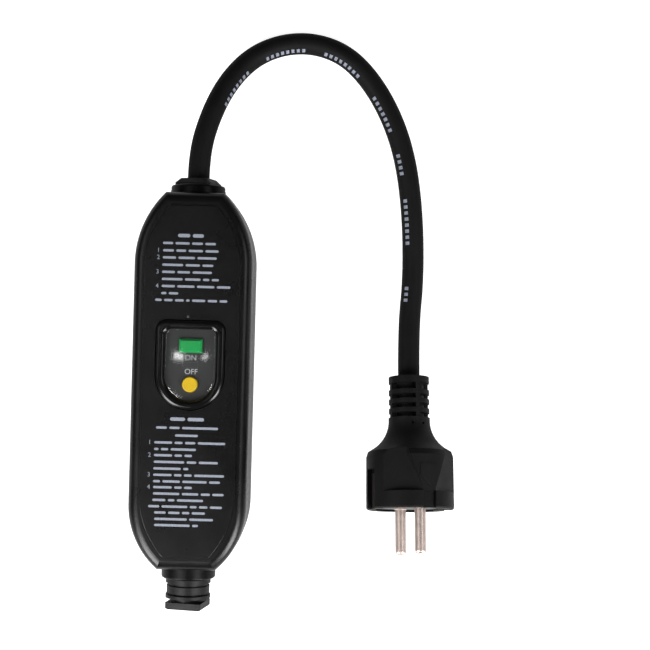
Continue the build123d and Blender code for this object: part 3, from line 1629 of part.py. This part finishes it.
with BuildPart() as varistor:
    varistor_height = board_top + component_lift + varistor_radius
    with BuildSketch(Plane.YZ.offset(-component_x)):
        with Locations((varistor_y, varistor_height)):
            Circle(varistor_radius)
    extrude(amount=varistor_thickness / 2, both=True)
    with BuildSketch(Plane.XY.offset(board_top)):
        with Locations(*[(-component_x, varistor_y + side * varistor_leg) for side in (-1, 1)]):
            Circle(component_wire)
    extrude(amount=component_lift + varistor_radius / 2)
write(varistor, "varistor")

# The resistor lies along Y and the diodes across, each on its own two wires
resistor_height = board_top + component_lift + resistor_radius
with BuildPart() as test_resistor:
    with BuildSketch(Plane.XZ.offset(-resistor_y + resistor_length / 2)):
        with Locations((-component_x, resistor_height)):
            Circle(resistor_radius)
    extrude(amount=-resistor_length)
    leg_span = resistor_length / 2 + component_wire_run
    resistor_wire = [
        (-component_x, resistor_y - leg_span, board_top),
        (-component_x, resistor_y - leg_span, resistor_height),
        (-component_x, resistor_y + leg_span, resistor_height),
        (-component_x, resistor_y + leg_span, board_top),
    ]
    add(bent_wire(resistor_wire, component_wire, component_wire_bend))
write(test_resistor, "test_resistor")

diode_height = board_top + component_lift + diode_radius
with BuildPart() as diodes:
    for number in range(diode_count):
        diode_y = diode_start_y + number * diode_pitch
        with BuildSketch(Plane.YZ.offset(component_x - diode_length / 2)):
            with Locations((diode_y, diode_height)):
                Circle(diode_radius)
        extrude(amount=diode_length)
        leg_span = diode_length / 2 + component_wire_run
        diode_wire = [
            (component_x - leg_span, diode_y, board_top),
            (component_x - leg_span, diode_y, diode_height),
            (component_x + leg_span, diode_y, diode_height),
            (component_x + leg_span, diode_y, board_top),
        ]
        add(bent_wire(diode_wire, component_wire, component_wire_bend))
write(diodes, "diodes")

# Indicator lamp under its lens, on two wires from the mechanism's shelf
with BuildPart() as indicator_lamp:
    with BuildSketch(Plane.XY.offset(lamp_bottom)):
        with Locations((button_x, window_y)):
            Circle(lamp_radius + lamp_rim)
    extrude(amount=lamp_rim_height)
    with BuildSketch(Plane.XY.offset(lamp_bottom)):
        with Locations((button_x, window_y)):
            Circle(lamp_radius)
    extrude(amount=lamp_height)
    fillet(indicator_lamp.faces().sort_by(Axis.Z)[-1].edges(), radius=lamp_round)
    with BuildSketch(Plane.XY.offset(shelf_top)):
        with Locations((button_x - lamp_leg, window_y), (button_x + lamp_leg, window_y)):
            Circle(component_wire)
    extrude(amount=lamp_bottom - shelf_top)
write(indicator_lamp, "indicator_lamp")
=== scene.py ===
"""Looks of the portable residual current device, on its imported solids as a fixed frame."""

from bisect import bisect_left
from math import cos, pi, radians, sin

import bmesh
import bpy
from mathutils import Matrix, Vector


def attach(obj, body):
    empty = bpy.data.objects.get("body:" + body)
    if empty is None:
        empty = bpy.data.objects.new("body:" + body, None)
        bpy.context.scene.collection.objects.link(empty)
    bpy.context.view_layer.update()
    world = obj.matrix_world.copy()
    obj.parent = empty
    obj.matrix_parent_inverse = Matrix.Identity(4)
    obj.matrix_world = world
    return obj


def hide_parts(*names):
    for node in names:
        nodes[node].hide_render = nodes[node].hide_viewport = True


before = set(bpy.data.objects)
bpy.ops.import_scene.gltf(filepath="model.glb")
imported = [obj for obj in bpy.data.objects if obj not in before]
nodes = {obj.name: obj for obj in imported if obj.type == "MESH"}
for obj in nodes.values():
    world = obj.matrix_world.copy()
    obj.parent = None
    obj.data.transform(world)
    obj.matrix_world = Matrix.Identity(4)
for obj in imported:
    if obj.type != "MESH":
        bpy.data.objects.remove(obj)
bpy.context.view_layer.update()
scene = bpy.context.scene
MM = 0.001

# Camera straight above the table, as in the photograph
CAMERA_PLACE = (0.05662, 0.02539, 0.620)
CAMERA_TURN = 1.5
CAMERA_LENS = 76.57
camera_data = bpy.data.cameras.new("photo_camera")
camera_data.sensor_width = 36.0
camera_data.lens = CAMERA_LENS
camera_data.clip_start = 0.01
camera = bpy.data.objects.new("photo_camera", camera_data)
camera.location = CAMERA_PLACE
camera.rotation_euler = (0, 0, radians(CAMERA_TURN))
scene.collection.objects.link(camera)
scene.camera = camera
scene.view_settings.view_transform = "Standard"


# Materials

def linear(value):
    """Linear value of one sRGB channel from 0 to 255."""
    value = value / 255
    return value / 12.92 if value <= 0.04045 else ((value + 0.055) / 1.055) ** 2.4


def colour(red, green, blue):
    """Linear colour of an sRGB one."""
    return (linear(red), linear(green), linear(blue), 1.0)


def moulded(
    name,
    srgb,
    roughness,
    rough_change=0.06,
    shade=0.12,
    patch=60.0,
    grain=2500.0,
    bump=0.05,
    metallic=0.0,
    specular=0.5,
    coat=0.0,
):
    """Principled material with a grain, soft patches of shade and a changing gloss."""
    material = bpy.data.materials.new(name)
    material.use_nodes = True
    tree = material.node_tree
    shader = tree.nodes["Principled BSDF"]
    shader.inputs["Metallic"].default_value = metallic
    shader.inputs["Specular IOR Level"].default_value = specular
    shader.inputs["Coat Weight"].default_value = coat
    shader.inputs["Coat Roughness"].default_value = 0.1
    place = tree.nodes.new("ShaderNodeTexCoord")

    patches = tree.nodes.new("ShaderNodeTexNoise")
    patches.inputs["Scale"].default_value = patch
    patches.inputs["Detail"].default_value = 4.0
    tree.links.new(place.outputs["Object"], patches.inputs["Vector"])

    base = colour(*srgb)
    ramp = tree.nodes.new("ShaderNodeValToRGB")
    ramp.color_ramp.elements[0].position = 0.3
    ramp.color_ramp.elements[1].position = 0.7
    ramp.color_ramp.elements[0].color = [c * (1 - shade) for c in base[:3]] + [1]
    ramp.color_ramp.elements[1].color = [min(c * (1 + shade), 1) for c in base[:3]] + [1]
    tree.links.new(patches.outputs["Fac"], ramp.inputs["Fac"])
    tree.links.new(ramp.outputs["Color"], shader.inputs["Base Color"])

    gloss = tree.nodes.new("ShaderNodeMapRange")
    gloss.inputs["From Min"].default_value = 0.3
    gloss.inputs["From Max"].default_value = 0.7
    gloss.inputs["To Min"].default_value = max(roughness - rough_change, 0.02)
    gloss.inputs["To Max"].default_value = min(roughness + rough_change, 1.0)
    tree.links.new(patches.outputs["Fac"], gloss.inputs["Value"])
    tree.links.new(gloss.outputs["Result"], shader.inputs["Roughness"])

    fine = tree.nodes.new("ShaderNodeTexNoise")
    fine.inputs["Scale"].default_value = grain
    fine.inputs["Detail"].default_value = 3.0
    tree.links.new(place.outputs["Object"], fine.inputs["Vector"])
    relief = tree.nodes.new("ShaderNodeBump")
    relief.inputs["Strength"].default_value = bump
    relief.inputs["Distance"].default_value = 0.0002
    tree.links.new(fine.outputs["Fac"], relief.inputs["Height"])
    tree.links.new(relief.outputs["Normal"], shader.inputs["Normal"])
    return material


def clear(name):
    """Clear skin: see-through, with the reflection of a smooth plastic."""
    material = moulded(
        name, (255, 255, 255), 0.10, 0.01,
        shade=0.0, patch=300.0, grain=500.0, bump=0.002, metallic=1.0,
    )
    tree = material.node_tree
    facing = tree.nodes.new("ShaderNodeLayerWeight")
    facing.inputs["Blend"].default_value = 0.5
    steep = tree.nodes.new("ShaderNodeMath")
    steep.operation = "POWER"
    steep.inputs[1].default_value = 5.0
    tree.links.new(facing.outputs["Facing"], steep.inputs[0])
    share = tree.nodes.new("ShaderNodeMath")
    share.operation = "MULTIPLY_ADD"
    share.inputs[1].default_value = 0.7
    share.inputs[2].default_value = 0.07
    tree.links.new(steep.outputs["Value"], share.inputs[0])
    tree.links.new(share.outputs["Value"], tree.nodes["Principled BSDF"].inputs["Alpha"])
    return material


looks = {
    "housing": moulded(
        "housing", (7, 7, 7), 0.285, 0.04, 0.10, 45.0, 2600.0, 0.10, specular=0.28,
    ),
    "seal": moulded("seal", (18, 18, 18), 0.7),
    "screw_steel": moulded("screw_steel", (165, 165, 168), 0.35, metallic=1.0),
    "bezel": moulded(
        "bezel", (5, 5, 5), 0.2, 0.03, 0.08, 80.0, 900.0, 0.02, specular=0.32, coat=0.05,
    ),
    "membrane": clear("membrane"),
    "plate": moulded("plate", (33, 34, 34), 0.45, 0.05, 0.08, 120.0, 3000.0, 0.05),
    "lens": moulded("lens", (45, 46, 46), 0.45, 0.02, specular=0.4),
    "reset_green": moulded("reset_green", (12, 142, 68), 0.33, 0.05, 0.06, 300.0, 3000.0, 0.04),
    "test_yellow": moulded("test_yellow", (200, 166, 2), 0.33, 0.05, 0.06, 300.0, 3000.0, 0.04),
    "collar": moulded("collar", (4, 4, 4), 0.36, 0.05, 0.1, 150.0, 2600.0, 0.05, specular=0.12),
    "grommet": moulded(
        "grommet", (6, 6, 6), 0.5, 0.06, 0.14, 200.0, 2400.0, 0.1, specular=0.25,
    ),
    "cord_rubber": moulded(
        "cord_rubber", (10, 10, 10), 0.6, 0.06, 0.14, 120.0, 3200.0, 0.12, specular=0.11,
    ),
    "plug_rubber": moulded(
        "plug_rubber", (8, 8, 8), 0.55, 0.06, 0.12, 110.0, 2600.0, 0.1, specular=0.15,
    ),
    "carrier": moulded("carrier", (26, 26, 26), 0.4),
    # Nickel of the earth clips, its colour darkened to paint the shade in the plug's slots
    "earth_clips": moulded(
        "earth_clips", (72, 68, 65), 0.5, 0.05, 0.1, 250.0, 1800.0, 0.03, 1.0,
    ),
    "pins": moulded("pins", (206, 190, 182), 0.44, 0.03, 0.05, 250.0, 1800.0, 0.02, 1.0),
    "inner_plastic": moulded("inner_plastic", (205, 203, 195), 0.45),
    "board": moulded("board", (28, 92, 48), 0.35, 0.06, 0.2, 220.0),
    "brass": moulded("brass", (205, 165, 90), 0.3, metallic=1.0),
    "copper": moulded("copper", (190, 112, 66), 0.32, metallic=1.0),
    "sheet_steel": moulded("sheet_steel", (150, 150, 152), 0.35, metallic=1.0),
    "spring_steel": moulded("spring_steel", (190, 190, 192), 0.25, metallic=1.0),
    "line_insulation": moulded("line_insulation", (96, 56, 32), 0.35),
    "neutral_insulation": moulded("neutral_insulation", (34, 84, 160), 0.35),
    "earth_insulation": moulded("earth_insulation", (90, 160, 44), 0.35),
    "lead_insulation": moulded("lead_insulation", (110, 100, 84), 0.4),
    "chip": moulded("chip", (24, 24, 26), 0.5),
    "component": moulded("component", (58, 78, 118), 0.35),
    "lamp": moulded("lamp", (190, 62, 48), 0.2),
    "print_grey": moulded(
        "print_grey", (122, 127, 138), 0.55, 0.05, 0.2, 1500.0, 6000.0, 0.05, specular=0.3,
    ),
    "print_plate": moulded(
        "print_plate", (170, 172, 174), 0.5, 0.05, 0.1, 1500.0, 6000.0, 0.05, specular=0.3,
    ),
    "print_cord": moulded(
        "print_cord", (118, 122, 134), 0.55, 0.05, 0.3, 900.0, 6000.0, 0.05, specular=0.3,
    ),
    "pip": moulded("pip", (52, 52, 52), 0.35, 0.05, 0.1, 900.0, 3000.0, 0.05),
}
dress = {
    "housing": ["back_shell", "front_cover"],
    "seal": ["housing_seal"],
    "screw_steel": [
        "housing_screws", "board_screws", "clamp_screws", "terminal_screws", "guide_pins",
    ],
    "bezel": ["window_bezel"],
    "membrane": ["window_membrane"],
    "plate": ["button_plate"],
    "lens": ["indicator_lens"],
    "reset_green": ["reset_button"],
    "test_yellow": ["test_button"],
    "collar": ["inlet_collar", "outlet_collar"],
    "grommet": ["inlet_grommet", "outlet_grommet"],
    "cord_rubber": ["supply_cord", "supply_cord_tail", "plug_cord_tail"],
    "plug_rubber": ["plug_body"],
    "carrier": ["plug_pin_carrier"],
    "pins": ["plug_pins"],
    "earth_clips": ["earth_clips", "earth_socket"],
    "inner_plastic": [
        "inlet_cord_clamp", "outlet_cord_clamp", "mechanism_frame", "contact_carrier",
        "coil_bobbin", "transformer_holder", "terminal_blocks",
    ],
    "board": ["circuit_board"],
    "brass": ["moving_contacts", "fixed_contacts", "test_contacts", "terminal_clamps"],
    "copper": ["coil_winding", "transformer_winding", "primary_conductors"],
    "sheet_steel": ["latch_plate", "trip_coil_frame", "trip_plunger", "transformer_core"],
    "spring_steel": ["reset_spring", "test_spring", "carrier_springs", "plunger_spring"],
    "line_insulation": ["line_lead"],
    "neutral_insulation": ["neutral_lead"],
    "earth_insulation": ["earth_lead"],
    "lead_insulation": ["plug_leads"],
    "chip": ["control_chip", "diodes"],
    "component": ["smoothing_capacitor", "film_capacitor", "varistor", "test_resistor"],
    "lamp": ["indicator_lamp"],
}
for look, names in dress.items():
    for name in names:
        mesh = nodes[name].data
        mesh.materials.clear()
        mesh.materials.append(looks[look])

# The free cord, from the inlet grommet round to the plug's bend relief
CORD_POINTS = [
    (0.0, 87.35, 18.0),
    (0.0, 99.5, 18.0),
    (4.5, 116.6, 15.2),
    (11.1, 131.2, 11.0),
    (21.0, 143.1, 6.8),
    (34.0, 149.6, 4.9),
    (48.4, 150.6, 4.85),
    (62.5, 145.9, 4.85),
    (73.9, 135.1, 4.85),
    (83.5, 119.6, 4.85),
    (90.3, 101.1, 4.85),
    (94.2, 76.6, 4.85),
    (95.4, 47.6, 4.85),
    (93.543, 24.723, 7.480),
    (94.07, 3.15, 11.76),
]
CORD_DIAMETER = 9.5
cord_curve = bpy.data.curves.new("rubber_cord", "CURVE")
cord_curve.dimensions = "3D"
cord_curve.bevel_depth = CORD_DIAMETER / 2 * MM
cord_curve.bevel_resolution = 8
cord_curve.resolution_u = 24
spline = cord_curve.splines.new("NURBS")
spline.points.add(len(CORD_POINTS) - 1)
for point, place in zip(spline.points, CORD_POINTS):
    point.co = (place[0] * MM, place[1] * MM, place[2] * MM, 1.0)
spline.order_u = 3
spline.use_endpoint_u = True
cord_curve.materials.append(looks["cord_rubber"])
cord = bpy.data.objects.new("rubber_cord", cord_curve)
scene.collection.objects.link(cord)
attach(cord, "device")
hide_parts("supply_cord")

# Printed rows, all of them plain: bars in place of words, and the numbers of the steps
PANEL_TOP = 36.0
PLATE_TOP = 33.2
INK = 0.05
BAR_HEIGHT = 1.0
HEADING_HEIGHT = 1.45
BAR_END_STEPS = 6
WORD_GAP = 1.0
NUMBER_SIZE = 2.6
NUMBER_GAP = 1.9
LABEL_SIZE = 3.2


def add_bar(builder, left, right, y, bottom, height):
    """Flat bar of ink with round ends."""
    radius = height / 2
    outline = []
    for centre, start in ((right - radius, -pi / 2), (left + radius, pi / 2)):
        for step in range(BAR_END_STEPS + 1):
            angle = start + pi * step / BAR_END_STEPS
            outline.append((centre + radius * cos(angle), y + radius * sin(angle)))
    rings = [
        [builder.verts.new((x * MM, y_place * MM, z * MM)) for x, y_place in outline]
        for z in (bottom, bottom + INK)
    ]
    builder.faces.new(rings[1])
    count = len(outline)
    for index in range(count):
        after = (index + 1) % count
        builder.faces.new((rings[0][index], rings[0][after], rings[1][after], rings[1][index]))


def add_row(builder, left, y, words, height=BAR_HEIGHT):
    """Row of bars as long as the given words."""
    for word in words:
        add_bar(builder, left, left + word, y, PANEL_TOP, height)
        left += word + WORD_GAP


def add_mark(builder, text, x, y, bottom, size):
    """Flat figure or word of ink, in the middle of its place."""
    mark = bpy.data.curves.new("mark", "FONT")
    mark.body = text
    mark.size = size * MM
    mark.extrude = INK / 2 * MM
    mark.align_x = "CENTER"
    mark.align_y = "CENTER"
    holder = bpy.data.objects.new("mark", mark)
    mesh = bpy.data.meshes.new_from_object(holder)
    mesh.transform(Matrix.Translation((x * MM, y * MM, (bottom + INK / 2) * MM)))
    builder.from_mesh(mesh)
    bpy.data.objects.remove(holder)
    bpy.data.meshes.remove(mesh)
    bpy.data.curves.remove(mark)


def add_piece(name, builder, look):
    """Object of a finished mesh, with its material, on the housing."""
    mesh = bpy.data.meshes.new(name)
    builder.to_mesh(mesh)
    builder.free()
    mesh.materials.append(looks[look])
    piece = bpy.data.objects.new(name, mesh)
    scene.collection.objects.link(piece)
    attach(piece, "device")
    return piece


UPPER_ROWS = [
    (-12.7, 58.3, (4.3, 6.0, 4.6, 4.5), None),
    (-12.6, 55.2, (4.6, 4.2, 6.1, 5.6), "1"),
    (-12.6, 52.2, (5.6, 7.0, 8.2), "2"),
    (-12.8, 49.1, (8.9, 6.1, 4.6), None),
    (-12.8, 46.1, (5.5, 5.4, 8.2), "3"),
    (-12.8, 43.1, (8.8, 6.6, 2.7, 3.0), None),
    (-12.8, 40.1, (5.6, 7.3, 7.4, 5.8), "4"),
    (-12.9, 37.1, (2.2, 4.0), None),
    (-15.4, 34.2, (2.8, 3.6, 3.7, 1.5, 5.6, 4.0, 3.3), None),
]
LOWER_ROWS = [
    (-13.6, -19.7, (4.6, 4.4, 15.2), None),
    (-5.5, -22.9, (9.7,), None),
    (-14.2, -26.0, (7.6, 3.4, 4.4, 11.6), "1"),
    (-14.2, -28.8, (1.9, 3.1, 10.7), None),
    (-14.2, -31.4, (7.7, 3.2, 3.2), "2"),
    (-14.2, -34.2, (12.9, 4.1, 8.1), None),
    (-14.3, -37.0, (11.6, 2.2), None),
    (-14.3, -39.7, (7.8, 3.2, 3.3, 12.7), "3"),
    (-14.3, -42.4, (3.0, 7.4, 10.3, 4.6), None),
    (-14.2, -44.9, (7.9, 3.2, 3.3), "4"),
    (-14.2, -47.6, (11.2, 7.0, 3.9, 4.8), None),
    (-14.4, -50.3, (5.6, 2.8, 11.1), None),
    (-16.1, -53.0, (4.7, 10.9, 2.9, 3.6, 5.1), None),
    (-13.5, -55.6, (4.9, 4.9, 3.1, 5.6), None),
    (-13.4, -58.3, (13.8, 10.1), None),
    (-13.4, -60.9, (15.1, 2.5), None),
]
for name, rows, heading in (
    ("upper_print", UPPER_ROWS, (-6.4, 61.6, (5.2, 4.7))),
    ("lower_print", LOWER_ROWS, (-7.8, -16.0, (6.4, 7.0))),
):
    builder = bmesh.new()
    add_row(builder, *heading, HEADING_HEIGHT)
    for left, y, words, number in rows:
        add_row(builder, left, y, words)
        if number:
            add_mark(builder, number, left - NUMBER_GAP, y, PANEL_TOP, NUMBER_SIZE)
    add_piece(name, builder, "print_grey")

builder = bmesh.new()
add_mark(builder, "ON", 0.0, 9.9, PLATE_TOP, LABEL_SIZE)
add_mark(builder, "OFF", 0.3, 4.0, PLATE_TOP, LABEL_SIZE)
add_piece("button_marks", builder, "print_plate")

# Small round mark of the mould above the window, a flattened ball half sunk in the panel
MOULD_MARK_PLACE = (-1.3 * MM, 27.5 * MM, PANEL_TOP * MM)
MOULD_MARK_RADIUS = 0.55
MOULD_MARK_FLATNESS = 0.3
builder = bmesh.new()
bmesh.ops.create_uvsphere(builder, u_segments=20, v_segments=10, radius=MOULD_MARK_RADIUS * MM)
bmesh.ops.scale(builder, vec=(1, 1, MOULD_MARK_FLATNESS), verts=builder.verts)
bmesh.ops.translate(builder, vec=MOULD_MARK_PLACE, verts=builder.verts)
add_piece("mould_mark", builder, "pip")

# Printed marks along the cord, each a patch laid on its side towards the loop's middle.
# They lean from the upright by MARK_ANGLE at the grommet, and by MARK_TURN less from
# MARK_TURN_LENGTH on, as the cord's twist brings them up.
CORD_GROUPS = [
    (35, 56), (67, 87), (97, 118.5), (129, 147), (157.5, 168), (178, 198.5), (217.5, 225.5),
]
MARK_LENGTH = 1.5
MARK_PITCH = 2.7
MARK_HALF_WIDTH = 0.95
MARK_LIFT = 0.03
MARK_ANGLE = 70
MARK_TURN = 35
MARK_TURN_LENGTH = 160
STEPS_ALONG = 3
STEPS_ACROSS = 4


def path_points(curve):
    """Points of a curve's own line, one after another, in metres."""
    thin = curve.copy()
    thin.bevel_depth = 0
    holder = bpy.data.objects.new("cord_line", thin)
    mesh = bpy.data.meshes.new_from_object(holder)
    points = [vertex.co.copy() for vertex in mesh.vertices]
    bpy.data.objects.remove(holder)
    bpy.data.meshes.remove(mesh)
    bpy.data.curves.remove(thin)
    return points


line_points = path_points(cord_curve)
reach = [0.0]
for before, after in zip(line_points, line_points[1:]):
    reach.append(reach[-1] + (after - before).length)


def along(distance):
    """Place and direction on the cord's line, a distance from its start."""
    index = min(max(bisect_left(reach, distance), 1), len(reach) - 1)
    start, end = line_points[index - 1], line_points[index]
    share = (distance - reach[index - 1]) / (reach[index] - reach[index - 1])
    return start.lerp(end, share), (end - start).normalized()


builder = bmesh.new()
skin = (CORD_DIAMETER / 2 + MARK_LIFT) * MM
for first, last in CORD_GROUPS:
    count = round((last - first - MARK_LENGTH) / MARK_PITCH) + 1
    for index in range(count):
        start = first + index * MARK_PITCH
        grid = []
        for step in range(STEPS_ALONG + 1):
            distance = start + MARK_LENGTH * step / STEPS_ALONG
            centre, direction = along(distance * MM)
            upward = (Vector((0, 0, 1)) - direction * direction.z).normalized()
            inward = direction.cross(upward)
            middle = radians(MARK_ANGLE - MARK_TURN * min(distance / MARK_TURN_LENGTH, 1))
            row = []
            for side in range(STEPS_ACROSS + 1):
                share = side / (STEPS_ACROSS / 2) - 1
                angle = middle + share * MARK_HALF_WIDTH / (CORD_DIAMETER / 2)
                place = centre + (upward * cos(angle) + inward * sin(angle)) * skin
                row.append(builder.verts.new(place))
            grid.append(row)
        for near, far in zip(grid, grid[1:]):
            for side in range(STEPS_ACROSS):
                builder.faces.new((near[side], near[side + 1], far[side + 1], far[side]))
add_piece("cord_print", builder, "print_cord")

# Pale floor and soft studio light from both sides

FLOOR_TONE = 0.5
FLOOR_GLOW_SEEN = 0.9
FLOOR_GLOW_REFLECTED = 0.1


def floor_material():
    """Matt floor that the camera sees as white, with a weaker glow in reflections."""
    material = bpy.data.materials.new("floor")
    material.use_nodes = True
    tree = material.node_tree
    shader = tree.nodes["Principled BSDF"]
    shader.inputs["Base Color"].default_value = (FLOOR_TONE, FLOOR_TONE, FLOOR_TONE, 1)
    shader.inputs["Roughness"].default_value = 0.9
    path = tree.nodes.new("ShaderNodeLightPath")
    seen = tree.nodes.new("ShaderNodeMath")
    seen.operation = "MULTIPLY"
    seen.inputs[1].default_value = FLOOR_GLOW_SEEN
    tree.links.new(path.outputs["Is Camera Ray"], seen.inputs[0])
    lift = tree.nodes.new("ShaderNodeMath")
    lift.operation = "MULTIPLY_ADD"
    lift.inputs[1].default_value = FLOOR_GLOW_REFLECTED
    tree.links.new(path.outputs["Is Glossy Ray"], lift.inputs[0])
    tree.links.new(seen.outputs["Value"], lift.inputs[2])
    shader.inputs["Emission Color"].default_value = (1, 1, 1, 1)
    tree.links.new(lift.outputs["Value"], shader.inputs["Emission Strength"])
    return material


floor_mesh = bpy.data.meshes.new("floor")
builder = bmesh.new()
bmesh.ops.create_grid(builder, x_segments=8, y_segments=8, size=2.0)
builder.to_mesh(floor_mesh)
builder.free()
floor = bpy.data.objects.new("floor", floor_mesh)
floor_mesh.materials.append(floor_material())
scene.collection.objects.link(floor)

# Studio walls: pale at the table's height, dark above
WALL_LOW = (0.02, (0.4, 0.4, 0.4, 1))
WALL_HIGH = (0.12, (0.07, 0.07, 0.07, 1))
world = bpy.data.worlds.new("studio")
scene.world = world
world.use_nodes = True
world_tree = world.node_tree
background = world_tree.nodes["Background"]
background.inputs["Strength"].default_value = 1.0
sky = world_tree.nodes.new("ShaderNodeTexCoord")
split = world_tree.nodes.new("ShaderNodeSeparateXYZ")
world_tree.links.new(sky.outputs["Generated"], split.inputs["Vector"])
wall = world_tree.nodes.new("ShaderNodeValToRGB")
for element, (height, tone) in zip(wall.color_ramp.elements, (WALL_LOW, WALL_HIGH)):
    element.position = height
    element.color = tone
world_tree.links.new(split.outputs["Z"], wall.inputs["Fac"])
world_tree.links.new(wall.outputs["Color"], background.inputs["Color"])


def softbox(name, place, aim, size, power):
    """Rectangular lamp that faces a point."""
    lamp = bpy.data.lights.new(name, "AREA")
    lamp.shape = "RECTANGLE"
    lamp.size, lamp.size_y = size
    lamp.energy = power
    obj = bpy.data.objects.new(name, lamp)
    obj.location = place
    obj.rotation_euler = (Vector(aim) - Vector(place)).to_track_quat("-Z", "Y").to_euler()
    scene.collection.objects.link(obj)


TABLE_MIDDLE = (0.03, 0.02, 0)
PINS = (0.095, -0.07, 0.02)
WINDOW = (0, 0.007, 0.035)
softbox("left_softbox", (-0.45, -0.5, 0.5), TABLE_MIDDLE, (0.3, 0.65), 10.5)
softbox("right_softbox", (0.6, -0.5, 0.5), TABLE_MIDDLE, (0.3, 0.65), 11.2)
softbox("face_glow", (-0.24, -0.36, 0.8), (0, -0.06, 0), (0.2, 0.2), 0.8)
softbox("left_pin_light", (-0.45, 0.10, 0.6), PINS, (0.3, 0.3), 0.45)
softbox("right_pin_light", (0.60, 0.10, 0.6), PINS, (0.3, 0.3), 0.7)
softbox("left_glint", (-0.16, 0.049, 0.8), WINDOW, (0.045, 0.07), 0.065)
softbox("right_glint", (0.04, 0.049, 0.8), WINDOW, (0.03, 0.045), 0.02)
